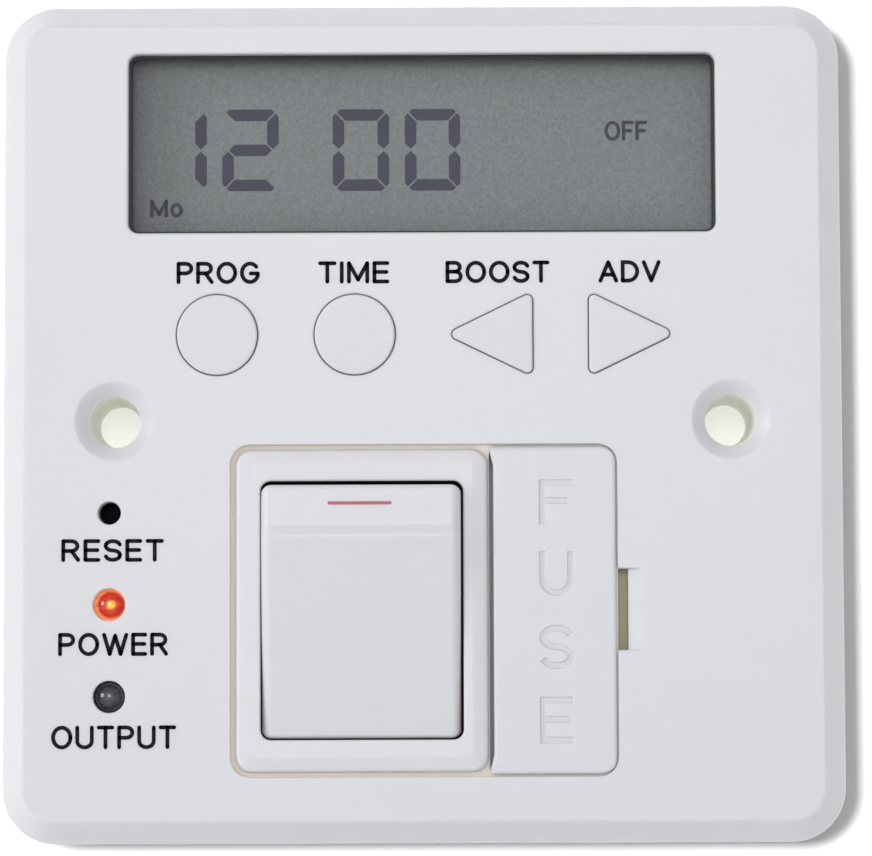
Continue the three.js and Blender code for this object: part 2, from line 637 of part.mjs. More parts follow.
// In the rocker's own frame: the pivot is at the origin and the face is level with the bezel's plane.
function rocker() {
  const arc = (y, sign) => [y, sign * Math.sqrt(ROCKER_RADIUS ** 2 - y ** 2)];
  const stripTop = ROCKER_FRONT + ROCKER_STEP + (ROCKER_RADIUS - ROCKER_BREAK_Z) * Math.tan(ROCKER_TILT);
  const outside = polygon([
    arc(ROCKER_FRONT, -1), arc(0, -1), arc(ROCKER_REAR / 2, -1), arc(ROCKER_REAR, -1),
    arc(ROCKER_REAR, 1), arc(ROCKER_REAR / 2, 1), arc(0, 1), arc(stripTop, 1),
    [ROCKER_FRONT + ROCKER_STEP, ROCKER_BREAK_Z], [ROCKER_FRONT, ROCKER_BREAK_Z - ROCKER_STEP],
  ]);
  const halfInside = arc(ROCKER_REAR, 1)[1] - ROCKER_WALL;
  const inside = area(ROCKER_X0 + ROCKER_WALL, ROCKER_X1 - ROCKER_WALL, -halfInside, halfInside);
  let body = cut(bar(outside, ROCKER_X0, ROCKER_X1), box(inside, 0, ROCKER_REAR + PAST));
  for (const x of POLE_XS) {
    body = join(body, rod(x, 0, POST_RADIUS, -WELD, POST_REAR, POST_RADIUS, SMALL_STEPS));
    body = cut(body, rod(x, 0, POST_BORE_RADIUS, 0, POST_REAR + PAST, POST_BORE_RADIUS, SMALL_STEPS));
  }
  const leftPin = pinAlongX(0, 0, PIVOT_RADIUS, ROCKER_X0 - PIVOT_REACH, ROCKER_X0 + WELD);
  const rightPin = pinAlongX(0, 0, PIVOT_RADIUS, ROCKER_X1 - WELD, ROCKER_X1 + PIVOT_REACH);
  return join(body, leftPin, rightPin);
}

function detentPlunger() {
  return turned([
    [0, DETENT_FRONT], [DETENT_RADIUS, DETENT_FRONT], [DETENT_RADIUS, DETENT_TIP - DETENT_NOSE],
    [DETENT_RADIUS / 2, DETENT_TIP], [0, DETENT_TIP],
  ], SMALL_STEPS);
}

function detentSpring() {
  const helix = new THREE.Curve();
  helix.getPoint = (t) => {
    const angle = 2 * Math.PI * SPRING_TURNS * t;
    const length = SPRING_REAR - SPRING_FRONT - 2 * WIRE_RADIUS;
    return new THREE.Vector3(SPRING_RADIUS * Math.cos(angle), SPRING_FRONT + WIRE_RADIUS + length * t,
      SPRING_RADIUS * Math.sin(angle));
  };
  const wire = new THREE.Shape();
  wire.absarc(0, 0, WIRE_RADIUS, 0, 2 * Math.PI);
  const geometry = new THREE.ExtrudeGeometry(wire, {
    extrudePath: helix, steps: STEPS_PER_TURN * SPRING_TURNS,
    curveSegments: WIRE_SIDES / 2, bevelEnabled: false,
  });
  return solidFrom(geometry);
}

function seesaw() {
  const halfThickness = SEESAW_THICKNESS / 2;
  return box(around(0, 0, SEESAW_WIDTH / 2, SEESAW_HALF_LENGTH), -halfThickness, halfThickness);
}

function fixedContact() {
  const pad = around(0, 0, SEESAW_WIDTH / 2, CONTACT_PAD_HALF_LENGTH);
  const blade = around(0, 0, CONTACT_BLADE_HALF_WIDTH, CONTACT_BLADE_HALF_THICKNESS);
  return join(
    box(pad, FIXED_CONTACT_Y, FIXED_CONTACT_Y + SEESAW_THICKNESS), box(blade, FIXED_CONTACT_Y, BLADE_END_Y),
  );
}

// ---- Fuse ----

function fuseCarrier() {
  const cover = slab(roundedRectangle(COVER, COVER_CORNER), COVER_Y, COVER_Y + COVER_THICKNESS);
  const squareLeft = box({ ...COVER, x1: COVER.x0 + 2 * COVER_CORNER }, COVER_Y, COVER_Y + COVER_THICKNESS);
  let carrier = join(cover, squareLeft);
  carrier = cut(carrier, hingeEdgeCutter());
  for (const sign of [-1, 1]) {
    const z = FUSE_Z + sign * SADDLE_OFFSET;
    const saddle = around(FUSE_X, z, SADDLE_HALF_WIDTH, SADDLE_THICKNESS / 2);
    carrier = join(carrier, box(saddle, COVER_Y + COVER_THICKNESS - WELD, SADDLE_REAR_Y));
  }
  carrier = cut(carrier, pinAlongZ(FUSE_X, FUSE_Y, FUSE_BODY_RADIUS + SADDLE_GAP,
    FUSE_Z - FUSE_LENGTH / 2, FUSE_Z + FUSE_LENGTH / 2, ROUND_STEPS));
  const lowerPin = pinAlongZ(HINGE_X, HINGE_Y, HINGE_RADIUS, COVER.z0 - HINGE_REACH, COVER.z0 + HINGE_REACH);
  const upperPin = pinAlongZ(HINGE_X, HINGE_Y, HINGE_RADIUS, COVER.z1 - HINGE_REACH, COVER.z1 + HINGE_REACH);
  return join(carrier, lowerPin, upperPin);
}

// The strip that leaves the cover's hinge edge rounded, so that it swings past the bezel.
function hingeEdgeCutter() {
  const radius = COVER_HINGE_EDGE;
  const profile = new THREE.Shape();
  profile.moveTo(COVER.x0 - radius, COVER_Y - radius);
  profile.lineTo(COVER.x0 + radius, COVER_Y - radius);
  profile.lineTo(COVER.x0 + radius, COVER_Y);
  profile.absarc(COVER.x0 + radius, COVER_Y + radius, radius, 1.5 * Math.PI, Math.PI, true);
  profile.lineTo(COVER.x0 - radius, COVER_Y + radius);
  return column(profile, COVER.z0 - PAST, COVER.z1 + PAST);
}

function fuseBody() {
  const halfLength = FUSE_LENGTH / 2 - FUSE_CAP_WALL - FUSE_END_GAP;
  return pinAlongZ(0, 0, FUSE_BODY_RADIUS, -halfLength, halfLength, ROUND_STEPS);
}

function fuseCap() {
  const rim = FUSE_LENGTH / 2 - FUSE_CAP_LENGTH;
  const end = FUSE_LENGTH / 2;
  const shell = pinAlongZ(0, 0, FUSE_CAP_RADIUS, rim, end, ROUND_STEPS);
  const boreRadius = FUSE_BODY_RADIUS + FUSE_CAP_GAP;
  const bore = pinAlongZ(0, 0, boreRadius, rim - PAST, end - FUSE_CAP_WALL, ROUND_STEPS);
  return cut(shell, bore);
}

function fuseHousing() {
  let housing = join(box(HOUSING, HOUSING_FRONT_Y, HOUSING_STEP_Y),
    box(HOUSING_FLOOR, HOUSING_STEP_Y - WELD, HOUSING_REAR_Y));
  housing = cut(housing, box(POCKET, HOUSING_FRONT_Y - PAST, POCKET_Y));
  housing = cut(housing, box(grown(HOUSING_FLOOR, -HOUSING_FLOOR_WALL), POCKET_Y - PAST, HOUSING_FLOOR_Y));
  for (const sign of [-1, 1]) {
    const slot = around(CLIP_BLADE_X, clipZ(sign), CLIP_SLOT_HALF_WIDTH, CLIP_SLOT_HALF_LENGTH);
    housing = cut(housing, box(slot, -PAST, HOUSING_REAR_Y + PAST));
  }
  return housing;
}

function clipZ(sign) {
  return FUSE_Z + sign * (FUSE_LENGTH / 2 - CLIP_FROM_END);
}

// A spring clip that hugs the side of the fuse cap that leaves last when the carrier swings open.
function fuseClip() {
  const inner = FUSE_CAP_RADIUS + CLIP_GAP;
  const outer = inner + CLIP_THICKNESS;
  const away = Math.atan2(FUSE_Y - HINGE_Y, FUSE_X - HINGE_X) + Math.PI / 2;
  const profile = new THREE.Shape();
  profile.absarc(0, 0, outer, away - CLIP_HALF_ANGLE, away + CLIP_HALF_ANGLE, false);
  profile.absarc(0, 0, inner, away + CLIP_HALF_ANGLE, away - CLIP_HALF_ANGLE, true);
  const hug = column(profile, -CLIP_WIDTH / 2, CLIP_WIDTH / 2);
  const blade = box(around(CLIP_BLADE_X - FUSE_X, 0, CLIP_BLADE_THICKNESS / 2, CLIP_BLADE_WIDTH / 2),
    inner + WELD, BLADE_END_Y - FUSE_Y);
  return join(hug, blade);
}

// ---- Power board, rear cover and terminals ----

// The narrow waist leaves room for the fixing lugs of the wall box.
function rearOutline(inset) {
  const wide = REAR_HALF_WIDTH - inset;
  const waist = WAIST_HALF_WIDTH - inset;
  const top = REAR_TOP_Z - inset;
  const shoulder = WAIST_TOP_Z + inset;
  const hip = WAIST_BOTTOM_Z - inset;
  const footTop = FOOT_TOP_Z + inset;
  const bottom = REAR_BOTTOM_Z + inset;
  return polygon([
    [-wide, top], [-wide, shoulder], [-waist, shoulder], [-waist, hip], [-wide, hip], [-wide, footTop],
    [FOOT_X0 + inset, footTop], [FOOT_X0 + inset, bottom], [FOOT_X1 - inset, bottom],
    [FOOT_X1 - inset, footTop], [wide, footTop], [wide, hip], [waist, hip], [waist, shoulder],
    [wide, shoulder], [wide, top],
  ]);
}

function rearCover() {
  const ears = SCREWED_PILLARS.map(({ x, z }) => {
    const ear = around(x - Math.sign(x) * EAR_REACH / 2, z, EAR_HALF + EAR_REACH / 2, EAR_HALF);
    return box(ear, 0, EAR_THICKNESS);
  });
  const screwHoles = SCREWED_PILLARS.map(
    ({ x, z }) => rod(x, z, EAR_HOLE_RADIUS, -PAST, REAR_Y + PAST, EAR_HOLE_RADIUS, SMALL_STEPS),
  );
  const inside = slab(rearOutline(REAR_WALL), -PAST, REAR_Y - REAR_WALL);
  const blockHole = box(grown(BLOCK, BLOCK_GAP), REAR_Y - REAR_WALL - PAST, REAR_Y + PAST);
  return cut(join(slab(rearOutline(0), 0, REAR_Y), ...ears), inside, ...screwHoles, blockHole);
}

function powerBoard() {
  return slab(rearOutline(REAR_WALL + POWER_BOARD_GAP), POWER_BOARD_Y, POWER_BOARD_Y + POWER_BOARD_THICKNESS);
}

function terminalX(i) {
  return (i - (TERMINAL_NAMES.length - 1) / 2) * TERMINAL_PITCH;
}

function terminalBlock() {
  const cutters = TERMINAL_NAMES.flatMap((_, i) => {
    const x = terminalX(i);
    const cell = around(x, BLOCK_Z, CELL_WIDTH / 2, CELL_HEIGHT / 2);
    return [
      box(cell, CELL_FLOOR_Y, BLOCK_REAR_Y + PAST),
      pinAlongZ(x, WIRE_HOLE_Y, WIRE_ENTRY_RADIUS, BLOCK_Z, BLOCK.z1 + PAST),
    ];
  });
  return cut(box(BLOCK, BLOCK_FRONT_Y, BLOCK_REAR_Y), ...cutters);
}

function terminal() {
  const { width, height, front, rear } = TERMINAL;
  const body = box(around(0, 0, width / 2, height / 2), front, rear);
  const wireHole = pinAlongZ(0, WIRE_HOLE_Y, WIRE_HOLE_RADIUS, -height, height);
  const radius = TERMINAL_BORE_RADIUS;
  const screwHole = rod(0, 0, radius, WIRE_HOLE_Y, rear + PAST, radius, SMALL_STEPS);
  return cut(body, wireHole, screwHole);
}

function slottedScrew(shankRadius, tipY, headRadius, headY, headHeight) {
  const body = turned([
    [0, tipY], [shankRadius, tipY], [shankRadius, headY], [headRadius, headY],
    [headRadius, headY + headHeight], [0, headY + headHeight],
  ], SMALL_STEPS);
  const slot = box(around(0, 0, headRadius + PAST, SLOT_WIDTH / 2), headY + headHeight - SLOT_DEPTH,
    headY + headHeight + PAST);
  return cut(body, slot);
}

// ---- Materials and assembly ----

function finish(color, roughness, metalness = 0) {
  return () => new THREE.MeshStandardMaterial({ color, roughness, metalness });
}

const WHITE_PLASTIC = finish(0xdcdde1, 0.45);
const KEY_PLASTIC = finish(0xdedfe3, 0.5);
const CLEAR_PLASTIC = finish(0xe8eceb, 0.1);
const DISPLAY_GLASS = finish(0x7c837f, 0.35);
const DARK_PLASTIC = finish(0x1b1c20, 0.5);
const BOARD_GREEN = finish(0x1f5a35, 0.5);
const RED_LAMP = finish(0xe02a10, 0.2);
const GREY_LAMP = finish(0x4a4850, 0.2);
const BRASS = finish(0xc8a04a, 0.3, 1);
const STEEL = finish(0xb4b6ba, 0.35, 1);
const CERAMIC = finish(0xd8d2c0, 0.6);
const BLUE_PLASTIC = finish(0x2b62b4, 0.5);
const RUBBER = finish(0x6f7072, 0.8);

const timer = new THREE.Group();

function place(parent, name, solid, material, x = 0, y = 0, z = 0) {
  const mesh = new THREE.Mesh(geometryFrom(solid), material());
  mesh.name = name;
  mesh.position.set(x, y, z);
  parent.add(mesh);
}

function addPlateAndDisplay() {
  place(timer, 'front_plate', frontPlate(), WHITE_PLASTIC);
  place(timer, 'display_window', displayWindow(), CLEAR_PLASTIC);
  place(timer, 'lcd_cell', lcdCell(), DISPLAY_GLASS);
  place(timer, 'lcd_frame', lcdFrame(), DARK_PLASTIC);
  place(timer, 'lcd_contact_strip', lcdContactStrip(), RUBBER);
}

function addControlBoard() {
  const group = new THREE.Group();
  timer.add(group);
  place(group, 'control_board', controlBoard(), BOARD_GREEN);
  const chip = box(around(0, 0, MICROCONTROLLER.half), 0, MICROCONTROLLER.height);
  const cell = rod(0, 0, BACKUP_CELL.radius, 0, BACKUP_CELL.height);
  const linkHeight = POWER_BOARD_Y - BOARD_REAR_Y - 2 * BOARD_LINK.gap;
  const link = box(around(0, 0, BOARD_LINK.halfX, BOARD_LINK.halfZ), 0, linkHeight);
  place(group, 'microcontroller', chip, DARK_PLASTIC, MICROCONTROLLER.x, BOARD_REAR_Y, MICROCONTROLLER.z);
  place(group, 'backup_cell', cell, STEEL, BACKUP_CELL.x, BOARD_REAR_Y + BACKUP_CELL.gap, BACKUP_CELL.z);
  place(group, 'board_link', link, DARK_PLASTIC, BOARD_LINK.x, BOARD_REAR_Y + BOARD_LINK.gap, BOARD_LINK.z);
}

function addKeysAndLamps() {
  for (const key of KEYS) {
    const cap = key.pointing ? arrowKey(key.pointing) : roundKey();
    place(timer, `${key.name}_button`, cap, KEY_PLASTIC, key.x, 0, KEY_Z);
    place(timer, `${key.name}_plunger`, tactPlunger(), DARK_PLASTIC, key.x, PLUNGER_GAP, KEY_Z);
    place(timer, `${key.name}_switch`, tactSwitch(), DARK_PLASTIC, key.x, 0, KEY_Z);
  }
  place(timer, 'reset_plunger', resetPlunger(), DARK_PLASTIC, INDICATOR_X, 0, RESET_Z);
  place(timer, 'reset_switch', tactSwitch(), DARK_PLASTIC, INDICATOR_X, 0, RESET_Z);
  place(timer, 'power_lamp', lamp(), RED_LAMP, INDICATOR_X, 0, POWER_LAMP_Z);
  place(timer, 'output_lamp', lamp(), GREY_LAMP, INDICATOR_X, 0, OUTPUT_LAMP_Z);
}

function addSwitch() {
  place(timer, 'switch_housing', switchHousing(), WHITE_PLASTIC);
  const tilting = new THREE.Group();
  tilting.position.set(0, PIVOT_Y, PIVOT_Z);
  tilting.rotation.x = ROCKER_TILT;
  timer.add(tilting);
  place(tilting, 'rocker', rocker(), WHITE_PLASTIC);
  POLE_XS.forEach((x, i) => {
    place(tilting, `rocker_spring_${POLE_NAMES[i]}`, detentSpring(), STEEL, x);
    place(tilting, `rocker_plunger_${POLE_NAMES[i]}`, detentPlunger(), DARK_PLASTIC, x);
    const tipping = new THREE.Group();
    tipping.position.set(x, SEESAW_Y, PIVOT_Z);
    tipping.rotation.x = -SEESAW_TILT;
    timer.add(tipping);
    place(tipping, `moving_contact_${POLE_NAMES[i]}`, seesaw(), BRASS);
    place(timer, `fixed_contact_${POLE_NAMES[i]}`, fixedContact(), BRASS, x, 0, FIXED_CONTACT_Z);
  });
}

function addFuse() {
  place(timer, 'fuse_housing', fuseHousing(), WHITE_PLASTIC);
  place(timer, 'fuse_carrier', fuseCarrier(), WHITE_PLASTIC);
  const fuse = new THREE.Group();
  fuse.position.set(FUSE_X, FUSE_Y, FUSE_Z);
  timer.add(fuse);
  place(fuse, 'fuse_body', fuseBody(), CERAMIC);
  const turnedOver = new THREE.Group();
  turnedOver.rotation.x = Math.PI;
  fuse.add(turnedOver);
  place(fuse, 'fuse_cap_upper', fuseCap(), BRASS);
  place(turnedOver, 'fuse_cap_lower', fuseCap(), BRASS);
  place(timer, 'fuse_clip_upper', fuseClip(), BRASS, FUSE_X, FUSE_Y, clipZ(1));
  place(timer, 'fuse_clip_lower', fuseClip(), BRASS, FUSE_X, FUSE_Y, clipZ(-1));
}

function addPowerBoard() {
  const group = new THREE.Group();
  group.position.y = POWER_BOARD_Y - PART_GAP;
  timer.add(group);
  const relay = box(around(0, 0, RELAY.halfX, RELAY.halfZ), -RELAY.height, 0);
  const dropper = box(around(0, 0, DROPPER.halfX, DROPPER.halfZ), -DROPPER.height, 0);
  const smoothing = rod(0, 0, SMOOTHER.radius, -SMOOTHER.height, 0);
  place(timer, 'power_board', powerBoard(), BOARD_GREEN);
  place(group, 'relay', relay, DARK_PLASTIC, RELAY.x, 0, RELAY.z);
  place(group, 'dropper_capacitor', dropper, BLUE_PLASTIC, DROPPER.x, 0, DROPPER.z);
  place(group, 'smoothing_capacitor', smoothing, DARK_PLASTIC, SMOOTHER.x, 0, SMOOTHER.z);
}

function addRear() {
  place(timer, 'rear_cover', rearCover(), WHITE_PLASTIC);
  place(timer, 'terminal_block', terminalBlock(), DARK_PLASTIC);
  TERMINAL_NAMES.forEach((name, i) => {
    const screw = slottedScrew(TERMINAL_SCREW_RADIUS, WIRE_HOLE_Y + WIRE_HOLE_RADIUS, TERMINAL_HEAD_RADIUS,
      TERMINAL_HEAD_Y, TERMINAL_HEAD_HEIGHT);
    place(timer, `${name}_terminal`, terminal(), BRASS, terminalX(i), 0, BLOCK_Z);
    place(timer, `${name}_screw`, screw, STEEL, terminalX(i), 0, BLOCK_Z);
  });
  for (const { x, z, screw } of SCREWED_PILLARS) {
    const solid = slottedScrew(COVER_SCREW_RADIUS, COVER_SCREW_TIP_Y, COVER_SCREW_HEAD_RADIUS,
      EAR_THICKNESS + PART_GAP, COVER_SCREW_HEAD_HEIGHT);
    place(timer, `cover_screw_${screw}`, solid, STEEL, x, 0, z);
  }
}

addPlateAndDisplay();
addControlBoard();
addKeysAndLamps();
addSwitch();
addFuse();
addPowerBoard();
addRear();

export default timer;
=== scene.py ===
"""Looks of a flush wall-plate programmer: display, keys, reset, two lamps, rocker switch and fuse carrier."""

import math

import bmesh
import bpy
from mathutils import Matrix, Vector


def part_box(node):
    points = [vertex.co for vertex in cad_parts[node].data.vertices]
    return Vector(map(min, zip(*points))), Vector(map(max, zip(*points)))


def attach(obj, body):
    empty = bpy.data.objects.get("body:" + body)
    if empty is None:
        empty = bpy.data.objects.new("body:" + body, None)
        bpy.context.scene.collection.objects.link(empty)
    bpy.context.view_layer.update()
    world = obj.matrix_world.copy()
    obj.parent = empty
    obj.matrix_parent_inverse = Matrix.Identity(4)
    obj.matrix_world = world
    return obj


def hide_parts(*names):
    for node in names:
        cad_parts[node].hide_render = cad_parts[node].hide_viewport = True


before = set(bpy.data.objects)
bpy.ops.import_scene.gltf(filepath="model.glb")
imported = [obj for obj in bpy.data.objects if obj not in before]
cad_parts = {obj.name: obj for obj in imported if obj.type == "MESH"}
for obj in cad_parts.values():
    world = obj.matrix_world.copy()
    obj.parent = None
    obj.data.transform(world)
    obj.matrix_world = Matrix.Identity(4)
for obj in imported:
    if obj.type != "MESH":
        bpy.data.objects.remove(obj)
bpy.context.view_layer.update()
MM = 0.001


# ---- Where the CAD solids are, in millimetres ----


def extent(node):
    """(x0, x1, y0, y1, z0, z1) of a CAD solid."""
    lo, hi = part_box(node)
    return tuple(v / MM for v in (lo.x, hi.x, lo.y, hi.y, lo.z, hi.z))


def middle(node):
    """(x, z) of a CAD solid's middle."""
    x0, x1, _, _, z0, z1 = extent(node)
    return (x0 + x1) / 2, (z0 + z1) / 2


PLATE = extent("front_plate")
PLATE_HALF = (PLATE[1] - PLATE[0]) / 2
PLATE_CORNER = 5.3
RIM_WALL = 2.4

# Depths along y: the plate's face, its inner side, the ledge and the groove's floor in its recess.
FACE = PLATE[2]
INNER = -7.4
LEDGE = -8.8
GROOVE_FLOOR = -9.35
REAR = 0.0

# Areas (x0, x1, z0, z1).
RECESS = (-18.8, 18.95, -34.7, -2.35)
NOTCH = {"edge": 18.95, "foot": 20.0, "top": 21.2, "z0": -22.5, "z1": -14.5, "y": -7.8}
WINDOW = (-28.83, 28.83, 18.5, 36.2)
WINDOW_CORNER = 1.0
WINDOW_FILLET = 0.22
SWITCH_HOLE = (-17.4, 5.6, -33.4, -3.7)
FUSE_HOLE = (6.45, 18.5, -34.3, -2.75)
BEZEL = (-18.25, 6.25, -34.2, -2.87)
BEZEL_CORNER = 1.6
BEZEL_FRONT = -10.5
SWITCH_SHAFT = (-17.1, 5.3, -33.1, -4.0)
SWITCH_CASE = (-16.6, 4.8, -29.5, -7.7)
ROCKER_HOLE = (-15.85, 3.9, -31.1, -5.93)
WELL_FLOOR = -2.0
COVER = (6.84, 18.78, -34.45, -2.62)
COVER_FRONT = -10.1

PIVOT = Vector((0.0, -9.3, -18.6))
ROCKER_X = (-15.75, 3.72)
ROCKER_TILT = math.radians(5.5)
ON_MARK = (-9.28, -3.05, 10.48, 10.8)
KEY_Z = middle("prog_button")[1]
KEYS = {"prog": (-20.1, 0), "time": (-6.63, 0), "boost": (7.92, -1), "advance": (19.14, 1)}
KEY_HOLE_RADIUS = 4.02
KEY_RADIUS = 3.93
KEY_FRONT = -10.2
KEY_FILLET = 0.2
ARROW_LENGTH = 8.8
ARROW_HALF_BASE = 4.27
INDICATOR_X, RESET_Z = middle("reset_plunger")
LAMPS = {name: middle(name)[1] for name in ("power_lamp", "output_lamp")}
KEY_HOLE_FILLET = 0.14
ROUND_HOLE_FILLET = 0.15
RESET_HOLE_RADIUS = 1.12
LAMP_HOLE_RADIUS = 1.56
LAMP_RADIUS = 1.46
FIXING_X = 30.15
SINK_RADIUS = 3.75
BORE_REACH = 2.6
BOSS_RADIUS = 4.3
PILLAR_RADIUS = 2.6
PILLARS = ((-27.5, 11.5, -2.0), (27.5, 11.5, -2.0), (-24.0, -30.5, -2.0), (26.0, -30.5, -0.4))


# ---- Outlines: closed lists of (u, v), counter-clockwise ----


def rounded(corners, radii, steps=6):
    """The outline through corner points, each corner cut back to an arc."""
    out = []
    count = len(corners)
    for i, radius in enumerate(radii):
        before, corner, after = (Vector(corners[(i + k) % count]) for k in (-1, 0, 1))
        if radius <= 0:
            out.append(corner)
            continue
        u, v = (before - corner).normalized(), (after - corner).normalized()
        half = u.angle(v) / 2
        centre = corner + (u + v).normalized() * radius / math.sin(half)
        first = corner + u * radius / math.tan(half) - centre
        last = corner + v * radius / math.tan(half) - centre
        turn = math.atan2(first.x * last.y - first.y * last.x, first.dot(last))
        start = math.atan2(first.y, first.x)
        for k in range(steps + 1):
            a = start + turn * k / steps
            out.append(centre + radius * Vector((math.cos(a), math.sin(a))))
    return out


def rectangle(area, radius=0.0, steps=6):
    x0, x1, z0, z1 = area
    return rounded([(x0, z0), (x1, z0), (x1, z1), (x0, z1)], [radius] * 4, steps)


def circle(x, z, radius, steps=48):
    turn = 2 * math.pi / steps
    return [Vector((x + radius * math.cos(turn * k), z + radius * math.sin(turn * k))) for k in range(steps)]


def arc_points(cx, cz, rx, rz, start, end, steps=10):
    """Points of an oval's arc between two angles in degrees."""
    return [(cx + rx * math.cos(math.radians(start + (end - start) * k / steps)),
             cz + rz * math.sin(math.radians(start + (end - start) * k / steps))) for k in range(steps + 1)]


def grown(loop, by):
    """The outline moved outward by a distance, corner by corner."""
    if not by:
        return list(loop)
    out = []
    for i, p in enumerate(loop):
        e0, e1 = (p - loop[i - 1]).normalized(), (loop[(i + 1) % len(loop)] - p).normalized()
        n0, n1 = Vector((e0.y, -e0.x)), Vector((e1.y, -e1.x))
        out.append(p + (n0 + n1) * by / (1 + n0.dot(n1)))
    return out


def arrow(x, pointing, growth=0.0, corner=0.6):
    """A rounded triangle about its centroid, pointing left or right."""
    half_angle = math.atan(ARROW_HALF_BASE / ARROW_LENGTH)
    base = -ARROW_LENGTH / 3 - growth
    tip = 2 * ARROW_LENGTH / 3 + growth / math.sin(half_angle)
    half = (tip - base) * math.tan(half_angle)
    corners = [(x + tip, KEY_Z), (x + base, KEY_Z + half), (x + base, KEY_Z - half)]
    if pointing < 0:
        corners = [(2 * x - u, v) for u, v in reversed(corners)]
    return rounded(corners, [corner + growth] * 3, 8)


def key_outline(name, growth):
    x, pointing = KEYS[name]
    if pointing:
        return arrow(x, pointing, growth - (KEY_HOLE_RADIUS - KEY_RADIUS))
    return circle(x, KEY_Z, KEY_RADIUS + growth, 64)


def band(points, width):
    """Left and right edges of an open line of constant width, mitred at its corners."""
    points = [Vector(p) for p in points]
    ways = [(b - a).normalized() for a, b in zip(points, points[1:])]
    left, right = [], []
    for p, e0, e1 in zip(points, [ways[0], *ways], [*ways, ways[-1]]):
        n0, n1 = Vector((-e0.y, e0.x)), Vector((-e1.y, e1.x))
        side = (n0 + n1) / (1 + n0.dot(n1)) * width / 2
        left.append(p + side)
        right.append(p - side)
    return left, right


def fillet(radius, y, way, steps=4):
    """Profile steps (growth, depth) that round an edge: way +1 widens a hole, -1 narrows a raised block."""
    out = []
    for k in range(steps + 1):
        a = math.pi / 2 * k / steps
        out.append((way * radius * (1 - math.sin(a)), y + radius * (1 - math.cos(a))))
    return out


# ---- Bodies made of rings ----


def on_wall(u, v, w):
    """Outlines drawn in x and z, with the depth along y."""
    return (u, w, v)


class Body:
    """One mesh built from rings of points. place(u, v, w) turns an outline point and a depth into x, y, z."""

    def __init__(self, place=on_wall):
        self.bm = bmesh.new()
        self.place = place
        self.flat_edges = set()

    def ring(self, loop, w):
        depths = w if isinstance(w, (list, tuple)) else [w] * len(loop)
        return [self.bm.verts.new(Vector(self.place(p[0], p[1], d)) * MM) for p, d in zip(loop, depths)]

    def skin(self, a, b):
        for i in range(len(a)):
            j = (i + 1) % len(a)
            self.bm.faces.new((a[i], a[j], b[j], b[i]))

    def stack(self, loop, profile):
        """Rings at each (growth, depth), skinned; gives the first and the last ring."""
        rings = [self.ring(grown(loop, growth), w) for growth, w in profile]
        for a, b in zip(rings, rings[1:]):
            self.skin(a, b)
        return rings[0], rings[-1]

    def fill(self, *rings):
        """Flat faces inside the first ring and outside the others."""
        edges = []
        for ring in rings:
            for i in range(len(ring)):
                pair = (ring[i - 1], ring[i])
                edges.append(self.bm.edges.get(pair) or self.bm.edges.new(pair))
        self.flat_edges.update(edges)
        bmesh.ops.triangle_fill(self.bm, use_beauty=True, use_dissolve=False, edges=edges)

    def block(self, loop, profile):
        """A closed block: a skinned stack with both ends filled."""
        first, last = self.stack(loop, profile)
        self.fill(first)
        self.fill(last)

    def lathe(self, x, z, profile, steps=40):
        """A turned body about an axis along y: profile is (radius, y) from front to back."""
        rings = []
        for radius, y in profile:
            if radius <= 0:
                rings.append([self.bm.verts.new(Vector((x, y, z)) * MM)])
                continue
            rings.append(self.ring(circle(x, z, radius, steps), y))
        for a, b in zip(rings, rings[1:]):
            for i in range(steps):
                j = (i + 1) % steps
                corners = (a[i % len(a)], a[j % len(a)], b[j % len(b)], b[i % len(b)])
                self.bm.faces.new(tuple(dict.fromkeys(corners)))

    def done(self, name, body, material, replaces=(), sharp=35.0, weighted=True, patches=()):
        bmesh.ops.recalc_face_normals(self.bm, faces=self.bm.faces)
        for edge in self.bm.edges:
            edge.smooth = edge.calc_face_angle(0.0) < math.radians(sharp) and edge not in self.flat_edges
        mesh = bpy.data.meshes.new(name)
        self.bm.to_mesh(mesh)
        self.bm.free()
        for face in mesh.polygons:
            face.use_smooth = True
        mesh.materials.append(material)
        for index, (other, inside) in enumerate(patches, 1):
            mesh.materials.append(other)
            for face in mesh.polygons:
                if inside(face.center / MM):
                    face.material_index = index
        obj = bpy.data.objects.new(name, mesh)
        bpy.context.scene.collection.objects.link(obj)
        if weighted:
            modifier = obj.modifiers.new("weighted", "WEIGHTED_NORMAL")
            modifier.keep_sharp = True
        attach(obj, body)
        if replaces:
            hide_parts(*replaces)
        return obj


# ---- Materials ----


